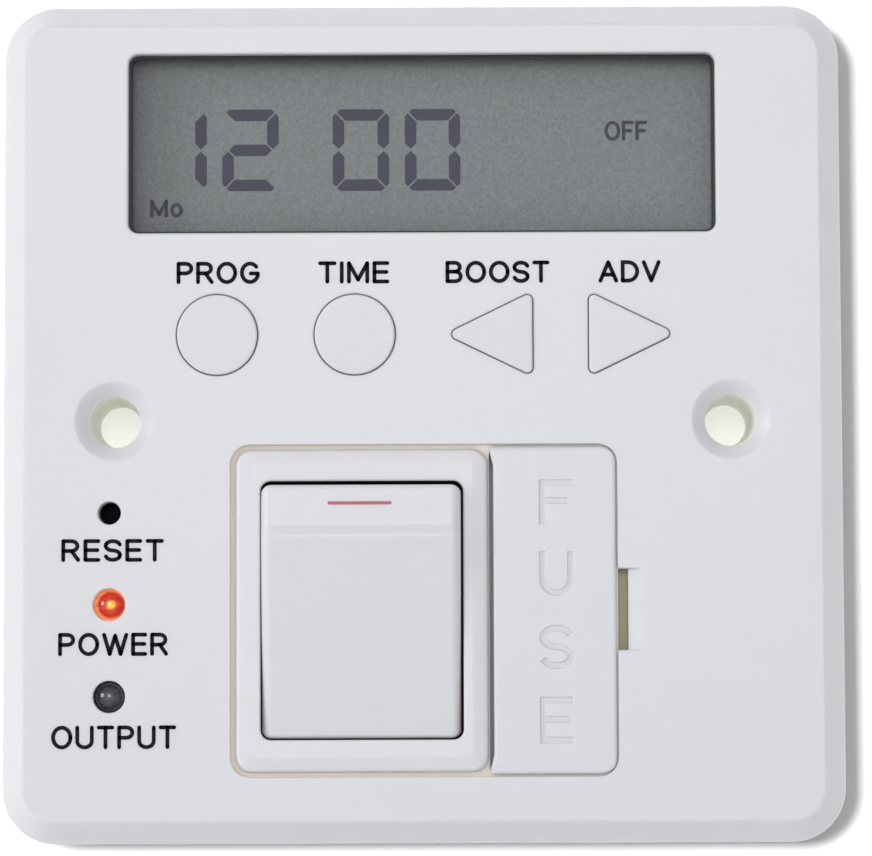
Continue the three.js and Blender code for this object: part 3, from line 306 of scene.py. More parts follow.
class Nodes:
    """A material's node tree with short calls for the nodes used here."""

    def __init__(self, name):
        self.material = bpy.data.materials.new(name)
        self.material.use_nodes = True
        self.tree = self.material.node_tree
        self.shader = self.tree.nodes["Principled BSDF"]
        self.coords = self.tree.nodes.new("ShaderNodeTexCoord").outputs["Object"]

    def link(self, a, b):
        self.tree.links.new(a, b)

    def noise(self, scale, detail=4.0, roughness=0.5, stretch=(1, 1, 1)):
        mapping = self.tree.nodes.new("ShaderNodeMapping")
        mapping.inputs["Scale"].default_value = stretch
        self.link(self.coords, mapping.inputs["Vector"])
        node = self.tree.nodes.new("ShaderNodeTexNoise")
        node.inputs["Scale"].default_value = scale
        node.inputs["Detail"].default_value = detail
        node.inputs["Roughness"].default_value = roughness
        self.link(mapping.outputs[0], node.inputs["Vector"])
        return node.outputs["Fac"]

    def ramp(self, value, stops):
        node = self.tree.nodes.new("ShaderNodeValToRGB")
        elements = node.color_ramp.elements
        while len(elements) < len(stops):
            elements.new(0.5)
        for element, (place, colour) in zip(elements, stops):
            element.position = place
            element.color = (*colour, 1) if isinstance(colour, (tuple, list)) else (colour, colour, colour, 1)
        self.link(value, node.inputs["Fac"])
        return node.outputs["Color"]

    def across(self, value, start, end, stops):
        """Colours laid across a coordinate between two places in millimetres."""
        node = self.tree.nodes.new("ShaderNodeMapRange")
        node.inputs["From Min"].default_value = start * MM
        node.inputs["From Max"].default_value = end * MM
        self.link(value, node.inputs["Value"])
        return self.ramp(node.outputs["Result"], stops)

    def split(self):
        """The object's x and z as two values."""
        node = self.tree.nodes.new("ShaderNodeSeparateXYZ")
        self.link(self.coords, node.inputs[0])
        return node.outputs["X"], node.outputs["Z"]

    def times(self, a, b):
        node = self.tree.nodes.new("ShaderNodeMix")
        node.data_type = "RGBA"
        node.blend_type = "MULTIPLY"
        node.inputs["Factor"].default_value = 1.0
        self.link(a, node.inputs["A"])
        self.link(b, node.inputs["B"])
        return node.outputs["Result"]

    def bump(self, heights):
        """Chains (height, strength, distance in mm) bumps into the shader's normal."""
        normal = None
        for height, strength, distance in heights:
            node = self.tree.nodes.new("ShaderNodeBump")
            node.inputs["Strength"].default_value = strength
            node.inputs["Distance"].default_value = distance * MM
            self.link(height, node.inputs["Height"])
            if normal is not None:
                self.link(normal, node.inputs["Normal"])
            normal = node.outputs["Normal"]
        self.link(normal, self.shader.inputs["Normal"])

    def set(self, **values):
        for name, value in values.items():
            self.shader.inputs[name.replace("_", " ")].default_value = value


def linear(r, g, b):
    """A colour given in display steps of 0 to 255, as linear light."""
    return tuple((c / 255 / 12.92) if c <= 10 else ((c / 255 + 0.055) / 1.055) ** 2.4 for c in (r, g, b))


def shade(colour, factor):
    return tuple(min(1.0, c * factor) for c in colour)


def plastic(name, colour, rough=0.36, spread=0.006, grain=0.12, gloss=0.5, mottle=35.0, scatter=0.0):
    """Moulded plastic: faint flow mottling, fine grain, slightly uneven gloss."""
    n = Nodes(name)
    mottling = n.noise(mottle, 5.0, 0.55)
    n.link(n.ramp(mottling, [(0.3, shade(colour, 1 - spread)), (0.7, shade(colour, 1 + spread))]),
           n.shader.inputs["Base Color"])
    n.link(n.ramp(n.noise(60.0, 2.0), [(0.3, rough - 0.012), (0.7, rough + 0.012)]),
           n.shader.inputs["Roughness"])
    n.bump([(n.noise(2600.0, 2.0, 0.6), grain, 0.02), (n.noise(90.0, 2.0), grain * 0.3, 0.03)])
    n.set(Specular_IOR_Level=gloss)
    if scatter:
        n.set(Subsurface_Weight=scatter, Subsurface_Radius=(1.0, 0.8, 0.5), Subsurface_Scale=1.6 * MM)
    return n.material


def metal(name, colour, rough=0.3):
    """Formed metal: dulled patches and a slightly uneven polish."""
    n = Nodes(name)
    patches = n.noise(140.0, 3.0, 0.5)
    n.link(n.ramp(patches, [(0.3, shade(colour, 0.93)), (0.7, colour)]), n.shader.inputs["Base Color"])
    n.link(n.ramp(n.noise(260.0, 2.0), [(0.3, rough - 0.02), (0.7, rough + 0.03)]),
           n.shader.inputs["Roughness"])
    n.bump([(n.noise(420.0, 1.0), 0.03, 0.01)])
    n.set(Metallic=1.0)
    return n.material


def laminate(name, colour, mask):
    """Circuit board: resist over tracks, with the weave just showing."""
    n = Nodes(name)
    tracks = n.ramp(n.noise(55.0, 0.0, 0.0, (1.0, 1.0, 3.0)), [(0.49, 0.0), (0.51, 1.0)])
    weave = n.ramp(n.noise(1400.0, 1.0, 0.5, (1.0, 1.0, 4.0)), [(0.3, 0.94), (0.7, 1.0)])
    n.link(n.times(n.ramp(tracks, [(0.0, colour), (1.0, mask)]), weave), n.shader.inputs["Base Color"])
    n.link(n.ramp(n.noise(300.0), [(0.3, 0.34), (0.7, 0.42)]), n.shader.inputs["Roughness"])
    n.bump([(tracks, 0.15, 0.03), (n.noise(1400.0, 1.0, 0.5, (1.0, 1.0, 4.0)), 0.08, 0.01)])
    return n.material


WHITE = linear(218, 219, 223)
M_PLATE = plastic("plate_white", WHITE, rough=0.34, grain=0.16, scatter=0.35)
M_BEZEL = plastic("bezel_white", linear(222, 222, 226), rough=0.36, spread=0.002, grain=0.05, scatter=0.35)
M_ROCKER = plastic("rocker_white", WHITE, rough=0.36, spread=0.002, grain=0.05, scatter=0.3)
M_COVER = plastic("cover_white", WHITE, rough=0.38, grain=0.16, scatter=0.35)
# Painted shade: a warm ivory tone for the recess walls and groove floor, where the plate's white lies in
# shade and glows warm through the plastic.
M_RECESS_PAINTED_SHADE = plastic("recess_painted_shade", linear(244, 232, 217), rough=0.5, spread=0.02, scatter=0.5)
# Painted light: the fixing bores' walls get a lighter, warmer copy of the plate's white, standing in for
# light in the bores.
M_BORE_PAINTED_LIGHT = plastic("bore_painted_light", linear(247, 248, 240), rough=0.5, spread=0.02)
# Painted shade: a darker olive tone for the finger notch's deep floor, which lies in shadow.
M_NOTCH_PAINTED_SHADE = plastic("notch_painted_shade", linear(196, 192, 168), rough=0.6, spread=0.05)
# Painted shade: a dark brown for the walls and floor of the rocker's well, where the gap round the rocker
# lies in shade.
M_WELL_PAINTED_SHADE = plastic("switch_well_painted_shade", linear(120, 78, 48), rough=0.5, spread=0.1)
M_RESET = plastic("reset_nose", linear(10, 10, 16), rough=0.7, spread=0.1, gloss=0.1)
M_KEY = plastic("key_white", linear(220, 221, 225), rough=0.42, grain=0.2, scatter=0.35)
M_REAR = plastic("rear_white", linear(206, 206, 205), rough=0.42, spread=0.03, grain=0.35)
M_BLOCK = plastic("terminal_white", linear(200, 200, 196), rough=0.38, spread=0.03, grain=0.3)
M_DARK = plastic("dark_plastic", linear(38, 38, 42), rough=0.4, spread=0.15)
M_RUBBER = plastic("contact_rubber", linear(60, 58, 62), rough=0.7, spread=0.1)
M_INK = plastic("legend_ink", linear(16, 18, 30), rough=0.6, spread=0.2, gloss=0.15)
# Painted shade: near black for the ring that fills the gap round the display pane.
M_PANE_GAP_SHADE = plastic("pane_gap_painted_shade", linear(26, 28, 34), rough=0.5, spread=0.1)
M_RED = plastic("red_ink", linear(186, 84, 108), rough=0.4, spread=0.06)
M_CERAMIC = plastic("ceramic", linear(222, 218, 206), rough=0.3, spread=0.03)
M_BLUE = plastic("capacitor_blue", linear(40, 74, 130), rough=0.3, spread=0.1)
M_BLACK = plastic("relay_black", linear(30, 30, 32), rough=0.45, spread=0.1)
M_STEEL = metal("steel", (0.62, 0.62, 0.64))
M_BRASS = metal("brass", (0.75, 0.56, 0.27))
M_BOARD = laminate("board_laminate", linear(44, 92, 56), linear(36, 82, 48))


def display_material():
    """Reflective display glass: fine speckle, with a painted shadow under the top edge, a violet painted
    shadow at the left, and painted shade that is lightest at the bottom.
    """
    n = Nodes("display_back_painted_shade")
    x, z = n.split()
    grains = n.noise(3800.0, 2.0, 0.7)
    speckle = n.ramp(grains, [(0.25, linear(104, 110, 112)), (0.75, linear(133, 139, 141))])
    # Painted shadow: darker under the window's top edge.
    top = n.across(z, WINDOW[3] - 1.5, WINDOW[3] - 0.1, [(0.0, 1.0), (0.55, 0.86), (1.0, 0.55)])
    # Painted shadow: darker and violet along the window's left edge.
    left = n.across(x, WINDOW[0], WINDOW[0] + 2.4, [(0.0, (0.84, 0.76, 0.98)), (1.0, 1.0)])
    # Painted shade: lightest at the bottom, falling to an even level a third of the way up.
    lower = n.across(z, WINDOW[2], WINDOW[3], [(0.0, 1.0), (0.35, 0.93), (1.0, 0.93)])
    speckle_and_painted_shade = n.times(n.times(speckle, lower), n.times(top, left))
    n.link(speckle_and_painted_shade, n.shader.inputs["Base Color"])
    n.bump([(grains, 0.15, 0.02)])
    n.set(Roughness=0.5, Specular_IOR_Level=0.2)
    return n.material


M_DISPLAY_PAINTED_SHADE = display_material()
M_SEGMENT = plastic(
    "display_segment", linear(34, 33, 62), rough=0.5, spread=0.08, grain=0.1, gloss=0.2, mottle=3000.0)


def clear_window(name):
    """Clear moulded pane: seen through, with a soft surface gloss."""
    n = Nodes(name)
    n.set(Roughness=0.08, IOR=1.3, Transmission_Weight=0.0, Specular_IOR_Level=0.25, Alpha=0.03)
    n.link(n.ramp(n.noise(400.0), [(0.3, 0.92), (0.7, 1.0)]), n.shader.inputs["Base Color"])
    n.bump([(n.noise(500.0, 2.0), 0.05, 0.02)])
    return n.material


M_WINDOW = clear_window("clear_window")


def lamp_material(name, node, off_centre, stops, glow):
    """Tinted lens seen in depth: the chip at its middle, streaks across it and the paler rim."""
    n = Nodes(name)
    lo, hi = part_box(node)
    centre = (lo + hi) / 2
    from_middle = n.tree.nodes.new("ShaderNodeVectorMath")
    from_middle.operation = "DISTANCE"
    flat = n.tree.nodes.new("ShaderNodeVectorMath")
    flat.operation = "MULTIPLY"
    flat.inputs[1].default_value = (1, 0, 1)
    n.link(n.coords, flat.inputs[0])
    n.link(flat.outputs[0], from_middle.inputs[0])
    from_middle.inputs[1].default_value = (centre.x + off_centre * MM, 0, centre.z)
    colours = n.across(from_middle.outputs["Value"], 0.0, LAMP_RADIUS, stops)
    streaks = n.ramp(n.noise(900.0, 3.0, 0.6, (0.6, 1, 3.5)), [(0.35, 0.62), (0.65, 1.3)])
    tinted = n.times(colours, streaks)
    n.bump([(n.noise(1500.0, 2.0), 0.06, 0.02)])
    n.set(Roughness=0.14, Coat_Weight=0.5, Coat_Roughness=0.06)
    if glow:
        n.link(tinted, n.shader.inputs["Emission Color"])
        n.set(Emission_Strength=glow, Base_Color=(0.12, 0.008, 0.004, 1))
    else:
        n.link(tinted, n.shader.inputs["Base Color"])
    return n.material


M_LAMP_LIT = lamp_material("lamp_lit", "power_lamp", 0.16, (
    (0.0, linear(255, 236, 110)), (0.24, linear(255, 206, 60)), (0.34, linear(240, 96, 26)),
    (0.5, linear(214, 34, 18)), (0.78, linear(190, 22, 14)), (0.9, linear(244, 120, 56)),
    (1.0, linear(250, 150, 96))), 0.85)
M_LAMP_OFF = lamp_material("lamp_off", "output_lamp", 0.0, (
    (0.0, linear(96, 90, 98)), (0.45, linear(60, 55, 66)), (0.8, linear(44, 40, 50)),
    (0.9, linear(110, 108, 112)), (1.0, linear(70, 68, 72))), 0.0)


# ---- Front plate ----


def fixing_profile():
    """Countersink, shoulder and the bore that narrows towards the wall."""
    sink = [(SINK_RADIUS + 0.2, FACE), (SINK_RADIUS + 0.06, FACE + 0.03), (SINK_RADIUS - 0.06, FACE + 0.1)]
    return [*sink, (2.75, FACE + 0.85), (2.62, FACE + 0.98), (2.52, FACE + 1.2), (2.1, REAR)]


def front_plate():
    """The moulded plate: chamfered shell, openings, fixing bosses, pillars and the recess with its notch."""
    body = Body()
    half = PLATE_HALF
    outline = rectangle((-half, half, -half, half), PLATE_CORNER, 14)
    face, rim = body.stack(outline, [
        (-2.36, FACE), (-2.2, FACE + 0.02), (-2.07, FACE + 0.1), (-1.95, FACE + 0.23),
        (-0.2, FACE + 2.08), (-0.07, FACE + 2.24), (-0.01, FACE + 2.42), (0.0, FACE + 2.65),
        (0.0, REAR - 0.25), (-0.06, REAR - 0.06), (-0.25, REAR), (-RIM_WALL, REAR), (-RIM_WALL, INNER),
    ])
    face_holes, inner_holes = [], []

    def through(loop, profile):
        first, last = body.stack(loop, profile)
        face_holes.append(first)
        inner_holes.append(last)

    through(rectangle(WINDOW, WINDOW_CORNER), [*fillet(WINDOW_FILLET, FACE, 1), (0.0, INNER)])
    key_hole = [*fillet(KEY_HOLE_FILLET, FACE, 1), (0.0, INNER)]
    for name in KEYS:
        through(key_outline(name, KEY_HOLE_RADIUS - KEY_RADIUS), key_hole)
    round_hole = [*fillet(ROUND_HOLE_FILLET, FACE, 1), (0.0, INNER)]
    through(circle(INDICATOR_X, RESET_Z, RESET_HOLE_RADIUS), round_hole)
    for z in LAMPS.values():
        through(circle(INDICATOR_X, z, LAMP_HOLE_RADIUS), round_hole)

    for side in (-1, 1):
        centre = (side * FIXING_X, 0.0)
        first, last = body.stack(circle(*centre, 1.0, 64), [(r - 1.0, y) for r, y in fixing_profile()])
        face_holes.append(first)
        boss = circle(*centre, BOSS_RADIUS, 64)
        boss_front, boss_rear = body.stack(boss, [(0.0, INNER), (0.0, REAR - 0.2), (-0.2, REAR)])
        body.fill(boss_rear, last)
        inner_holes.append(boss_front)
    for x, z, end in PILLARS:
        pillar = circle(x, z, PILLAR_RADIUS)
        front, rear = body.stack(pillar, [(0.0, INNER), (0.0, end - 0.2), (-0.2, end)])
        body.fill(rear)
        inner_holes.append(front)

    x0, x1, z0, z1 = RECESS
    n = NOTCH

    # The bore walls past the countersink take the painted light.
    def in_bore(p):
        return math.hypot(abs(p.x) - FIXING_X, p.z) < BORE_REACH and p.y > FACE + 1.0

    # The recess walls and groove floor take the painted warm shade.
    def in_recess(p):
        return x0 < p.x < n["top"] and z0 < p.z < z1 and FACE + 0.4 < p.y < INNER - 0.01

    # The notch's deep floor takes the painted shade.
    def in_notch(p):
        return x1 < p.x < n["foot"] and n["z0"] < p.z < n["z1"] and p.y > GROOVE_FLOOR + 0.05

    corners = [(x0, z0), (x1, z0), (x1, n["z0"]), (n["top"], n["z0"]), (n["top"], n["z1"]), (x1, n["z1"]),
               (x1, z1), (x0, z1)]
    big, foot_bend, tip = 1.9, 0.15, 0.3
    recess = rounded(corners, [big, big, foot_bend, tip, tip, foot_bend, big, big], 6)
    first, edge = body.stack(recess, fillet(0.12, FACE, 1))
    face_holes.append(first)
    shrink = (n["foot"] - n["edge"]) / (n["top"] - n["edge"])
    foot = [Vector((p.x - max(0.0, p.x - n["edge"]) * (1 - shrink), p.y)) for p in recess]
    ledge = body.ring(foot, GROOVE_FLOOR)
    body.skin(edge, ledge)
    pit = rectangle((x1 + 0.04, n["foot"] - 0.03, n["z0"] + 0.05, n["z1"] - 0.05), 0.1, 2)
    pit_top, pit_floor = body.stack(pit, [(0.0, GROOVE_FLOOR), (0.0, n["y"])])
    body.fill(pit_floor)
    wells = [pit_top]
    for area in (SWITCH_HOLE, FUSE_HOLE):
        top, bottom = body.stack(rectangle(area, 0.5, 3), [(0.0, GROOVE_FLOOR), (0.0, INNER)])
        wells.append(top)
        inner_holes.append(bottom)
    body.fill(ledge, *wells)
    body.fill(face, *face_holes)
    body.fill(rim, *inner_holes)
    body.done("plate_shell", "timer_body", M_PLATE, ["front_plate"],
              patches=((M_BORE_PAINTED_LIGHT, in_bore), (M_RECESS_PAINTED_SHADE, in_recess), (M_NOTCH_PAINTED_SHADE, in_notch)))


# ---- Keys and reset ----

COLLAR_FRONT = -7.1
COLLAR_REAR = -6.3
STEM_RADIUS = 1.5
STEM_END = -5.85
RESET_NOSE = ((0.0, -7.05), (0.75, -7.0), (0.95, -6.8), (0.95, -5.0), (0.0, -5.0))


def keys():
    """Four keys with collars and stems behind the plate, and the nose behind the reset hole."""
    for name in KEYS:
        body = Body()
        loop = key_outline(name, 0.0)
        collar = [(0.0, COLLAR_FRONT), (0.6, COLLAR_FRONT), (0.6, COLLAR_REAR), (-2.2, COLLAR_REAR)]
        body.block(loop, [*fillet(KEY_FILLET, KEY_FRONT, -1), *collar])
        stem = [(0.0, COLLAR_REAR), (STEM_RADIUS, COLLAR_REAR), (STEM_RADIUS, STEM_END), (0.0, STEM_END)]
        body.lathe(KEYS[name][0], KEY_Z, stem, 24)
        body.done(name + "_key_cap", name + "_key", M_KEY, [name + "_button"])
    body = Body()
    body.lathe(INDICATOR_X, RESET_Z, RESET_NOSE, 32)
    body.done("reset_nose", "reset_key", M_RESET, ["reset_plunger"])


# ---- Switch ----

SHAFT_END = -0.4
CASE_END = 12.0


def bezel():
    """The raised frame round the rocker, with the switch's shaft and case behind it."""
    body = Body()
    outline = rectangle(BEZEL, BEZEL_CORNER, 8)
    crown = [(-1.45, BEZEL_FRONT), (-1.0, BEZEL_FRONT + 0.06)]
    shoulder = [(growth - 0.02, y) for growth, y in fillet(0.45, BEZEL_FRONT + 0.2, -1, 6)]
    face, wall = body.stack(outline, [*crown, *shoulder])
    x0, x1, z0, z1 = BEZEL
    seat = LEDGE - 0.02
    foot = rectangle((x0 - 0.2, x1 + 0.28, z0 - 0.2, z1 + 0.2), BEZEL_CORNER, 8)
    back = body.ring(foot, seat)
    body.skin(wall, back)
    top, bottom = body.stack(rectangle(SWITCH_SHAFT, 0.4, 3), [(0.0, seat), (0.0, SHAFT_END)])
    body.fill(back, top)
    case_top, case_end = body.stack(
        rectangle(SWITCH_CASE, 0.8, 3), [(0.0, SHAFT_END), (0.0, CASE_END - 0.4), (-0.4, CASE_END)])
    body.fill(bottom, case_top)
    body.fill(case_end)
    hole = rectangle(ROCKER_HOLE, 1.0, 6)
    mouth, well = body.stack(hole, [*fillet(0.2, BEZEL_FRONT, 1), (0.0, WELL_FLOOR)])
    body.fill(face, mouth)
    body.fill(well)
    x0, x1, z0, z1 = ROCKER_HOLE

    # The rocker's well takes the painted shade.
    def in_well(p):
        return x0 - 0.01 < p.x < x1 + 0.01 and z0 - 0.01 < p.z < z1 + 0.01 and p.y > BEZEL_FRONT + 0.21

    body.done("switch_bezel", "timer_body", M_BEZEL, ["switch_housing"],
              patches=((M_WELL_PAINTED_SHADE, in_well),))


def tilted(u, v, w):
    """Rocker section coordinates (z from pivot, forward from pivot) and x, turned to the rest tilt."""
    c, s = math.cos(ROCKER_TILT), math.sin(ROCKER_TILT)
    y, z = v * c - u * s, v * s + u * c
    return (w, PIVOT.y + y, PIVOT.z + z)


def rocker():
    """The rocker's side outline swept across x, and the red mark on its bent strip."""
    radius, front, step, bend, rear = 12.4, -2.0, 0.35, 8.5, 4.5
    reach = math.sqrt(radius ** 2 - front ** 2)
    top_y = front + step + (radius - bend) * math.tan(ROCKER_TILT)
    top = math.sqrt(radius ** 2 - top_y ** 2)
    rear_reach = math.sqrt(radius ** 2 - rear ** 2)
    strip = front + step
    section = rounded(
        [(-reach, front), (bend - 0.95, front), (bend, strip), (top, top_y), (radius, 0.0),
         (rear_reach, rear), (-rear_reach, rear), (-radius, 0.0)],
        [0.45, 1.2, 1.2, 0.5, 6.0, 0.3, 0.3, 6.0], 5)
    body = Body(tilted)
    x0, x1 = ROCKER_X[0], ROCKER_X[1] - 0.06
    soft = 0.95
    turns = [math.pi / 2 * k / 7 for k in range(8)]
    edge = [(soft * (1 - math.sin(a)), soft * (1 - math.cos(a))) for a in turns]
    left = [(-inset, x0 + along) for inset, along in edge]
    right = [(-inset, x1 - along) for inset, along in reversed(edge)]
    body.block(section, [*left, *right])
    body.done("rocker_cap", "rocker_unit", M_ROCKER, ["rocker"], sharp=60.0)
    slope = math.tan(ROCKER_TILT)
    mark = Body(lambda u, v, w: tilted(v, strip + (v - bend) * slope + w, u))
    mark.block(rectangle(ON_MARK, 0.155, 5), [(0.0, -0.015), (0.0, 0.02)])
    mark.done("on_mark", "rocker_unit", M_RED, weighted=False)


# ---- Fuse carrier ----

FUSE_LETTER_X = (11.3, 14.65)
FUSE_LETTER_Z = ((-10.2, -5.84), (-17.2, -12.85), (-24.3, -20.0), (-31.5, -27.0))
FUSE_STROKE = 0.62
LETTER_WALL = ((0.05, 0.0), (0.02, 0.02), (-0.02, 0.06), (-0.06, 0.22))
SADDLE_OFFSET = 5.0
SADDLE_HALF = 1.5
SADDLE_REACH = 3.5
CHEEK_OFFSET = 3.22
CHEEK_HALF = 0.28
COVER_THICKNESS = 2.0


def letter_outlines():
    """Outlines of the four engraved letters, top to bottom."""
    x0, x1 = FUSE_LETTER_X
    t = FUSE_STROKE
    out = []
    a, b = FUSE_LETTER_Z[0]
    m = (a + b) / 2 + 0.12
    out.append([(x0, a), (x0 + t, a), (x0 + t, m - t / 2), (x1 - 0.55, m - t / 2), (x1 - 0.55, m + t / 2),
                (x0 + t, m + t / 2), (x0 + t, b - t), (x1 - 0.1, b - t), (x1 - 0.1, b), (x0, b)])
    a, b = FUSE_LETTER_Z[1]
    r = (x1 - x0) / 2
    cx = (x0 + x1) / 2
    outer = arc_points(cx, a + r, r, r, 180, 360, 14)
    inner = arc_points(cx, a + r, r - t, r - t, 360, 180, 14)
    out.append([(x0, b), *outer, (x1, b), (x1 - t, b), *inner, (x0 + t, b)])
    out.append(s_outline(x0, x1, *FUSE_LETTER_Z[2], t))
    a, b = FUSE_LETTER_Z[3]
    m = (a + b) / 2 + 0.08
    out.append([(x0, a), (x1 - 0.1, a), (x1 - 0.1, a + t), (x0 + t, a + t), (x0 + t, m - t / 2),
                (x1 - 0.4, m - t / 2), (x1 - 0.4, m + t / 2), (x0 + t, m + t / 2), (x0 + t, b - t),
                (x1 - 0.15, b - t), (x1 - 0.15, b), (x0, b)])
    return [[Vector(p) for p in loop] for loop in out]


def s_line(x0, x1, a, b):
    """Centre line of an S between two heights."""
    cx = (x0 + x1) / 2
    rx, ry = (x1 - x0) / 2, (b - a) / 4
    upper, lower = b - ry, a + ry
    return [*arc_points(cx, upper, rx, ry, 15, 270, 12), *arc_points(cx, lower, rx, ry, 90, -165, 12)[1:]]


def s_outline(x0, x1, a, b, t):
    """Outline of an S of stroke t that fills the given box."""
    left, right = band(s_line(x0 + t / 2, x1 - t / 2, a + t / 2, b - t / 2), t)
    return left + right[::-1]


def area_of(loop):
    """Signed area: positive where the outline runs counter-clockwise."""
    return sum(loop[i - 1].x * p.y - p.x * loop[i - 1].y for i, p in enumerate(loop)) / 2


def fuse_cover():
    """The hinged cover with its sunk letters, and two saddles with cheeks that hold the fuse."""
    body = Body()
    x0, x1, z0, z1 = COVER
    ear = x0 - 0.3
    corners = [(ear, z0), (x1, z0), (x1, z1), (ear, z1), (ear, z1 - 0.6), (x0, z1 - 1.9),
               (x0, z0 + 1.9), (ear, z0 + 0.6)]
    outline = rounded(corners, [0.25, 1.4, 1.4, 0.25, 0.12, 0.3, 0.3, 0.12], 5)
    face, mid = body.stack(outline, [*fillet(0.32, COVER_FRONT, -1, 5), (0.0, COVER_FRONT + COVER_THICKNESS)])
    pits = []
    for loop in letter_outlines():
        if area_of(loop) < 0:
            loop = loop[::-1]
        lip, floor = body.stack(loop, [(growth, COVER_FRONT + depth) for growth, depth in LETTER_WALL])
        body.fill(floor)
        pits.append(lip)
    body.fill(face, *pits)
    body.fill(mid)
    fuse_x = middle("fuse_body")[0]
    for sign in (-1, 1):
        z = (z0 + z1) / 2 + sign * SADDLE_OFFSET
        bottom, top = z - SADDLE_HALF, z + SADDLE_HALF
        saddle = rectangle((fuse_x - SADDLE_REACH, fuse_x + SADDLE_REACH, bottom, top), 0.3, 3)
        body.block(saddle, [(0.0, COVER_FRONT + COVER_THICKNESS - 0.1), (0.0, -7.2)])
        for side in (-1, 1):
            x = fuse_x + side * CHEEK_OFFSET
            cheek = rectangle((x - CHEEK_HALF, x + CHEEK_HALF, bottom, top), 0.1, 2)
            body.block(cheek, [(0.0, -7.3), (0.0, -4.4), (-0.1, -4.2)])
    body.done("fuse_cover", "fuse_unit", M_COVER, ["fuse_carrier"], sharp=28.0)


# ---- Display ----

PANE_GAP = 0.28
FLANGE_FRONT = -7.1
FLANGE_REAR = -6.4
DISPLAY_Y = -6.2
SEGMENTS = {"0": "abcdef", "1": "bc", "2": "abged"}
TIME_DIGITS = (("1", -25.6, -21.33), ("2", -19.8, -14.2), ("0", -8.85, -3.25), ("0", -1.7, 3.8))
DIGIT_Z = (23.1, 31.25)
DIGIT_STROKE = 1.15
DISPLAY_WORDS = (("Mo", -26.95, -23.7, 20.5, 22.3, 0.36), ("OFF", 18.1, 22.35, 28.0, 30.0, 0.34))


def window_pane():
    """The clear pane, held from behind by its flange."""
    body = Body()
    pane = grown(rectangle(WINDOW, WINDOW_CORNER), -PANE_GAP)
    flange = [(0.0, FLANGE_FRONT), (0.9, FLANGE_FRONT), (0.9, FLANGE_REAR)]
    body.block(pane, [*fillet(0.15, LEDGE, -1), *flange])
    body.done("window_pane", "timer_body", M_WINDOW, ["display_window"])


def pane_gap_shade():
    """A dark ring in the gap round the pane: painted shade for the dark gap."""
    body = Body()
    loop = rectangle(WINDOW, WINDOW_CORNER)
    depth = [(0.0, LEDGE - 0.05), (0.0, -7.2)]
    outer, outer_rear = body.stack(grown(loop, -0.01), depth)
    inner, inner_rear = body.stack(grown(loop, -0.26), depth)
    body.fill(outer, inner)
    body.fill(outer_rear, inner_rear)
    body.done("pane_gap_painted_shade", "timer_body", M_PANE_GAP_SHADE, weighted=False)


def digit(char, x0, x1, z0, z1, t):
    """Bars of a seven-bar digit inside the given box, mitred at its corners."""
    half, gap, cut = t / 2, 0.11, 0.62
    m, height = (z0 + z1) / 2, (z1 - z0) / 2
    flat = [(x0 + cut + gap, height), (x1 - cut - gap, height), (x1 - cut / 2 - gap, height - cut / 2),
            (x1 - t - gap, height - t), (x0 + t + gap, height - t), (x0 + cut / 2 + gap, height - cut / 2)]
    wall = [(x0, height - cut - gap), (x0 + cut / 2, height - cut / 2 - gap), (x0 + t, height - t - gap),
            (x0 + t, half + gap), (x0 + half, gap), (x0, half + gap)]
    bar = [(x0 + half + gap, 0), (x0 + t + gap, half), (x1 - t - gap, half), (x1 - half - gap, 0),
           (x1 - t - gap, -half), (x0 + t + gap, -half)]

    def turned(points, across, up):
        return [((x0 + x1 - u) if across else u, m + (v if up else -v)) for u, v in points]

    bars = {"a": (flat, False, True), "d": (flat, False, False), "g": (bar, False, True),
            "f": (wall, False, True), "e": (wall, False, False), "b": (wall, True, True),
            "c": (wall, True, False)}
    return [turned(*bars[s]) for s in SEGMENTS[char]]


def flat_shapes(name, loops, y, thickness, material):
    """Thin printed shapes standing just proud of a surface that faces forward."""
    made = Body()
    for loop in loops:
        loop = [Vector(p) for p in loop]
        if area_of(loop) < 0:
            loop.reverse()
        made.block(loop, [(0.0, y - thickness), (0.0, y)])
    made.done(name, "timer_body", material, weighted=False)


def display_marks():
    """The time's digits, the day and the output's state, as segments on the glass."""
    loops = []
    for char, x0, x1 in TIME_DIGITS:
        loops += digit(char, x0, x1, *DIGIT_Z, DIGIT_STROKE)
    for word in DISPLAY_WORDS:
        loops += strokes(*word)
    flat_shapes("display_segments", loops, DISPLAY_Y - 0.005, 0.02, M_SEGMENT)


# ---- Lettering ----


def bowl(cx, cz, rx, rz, steps=10):
    """The right half of an oval, from its top down."""
    return arc_points(cx, cz, rx, rz, 90, -90, steps)


def oval(cx, cz, rx, rz, steps):
    """A closed stroke round an oval."""
    return arc_points(cx, cz, rx, rz, 0, 360, steps)[:-1], True


def line(*points):
    """An open stroke through points."""
    return list(points), False


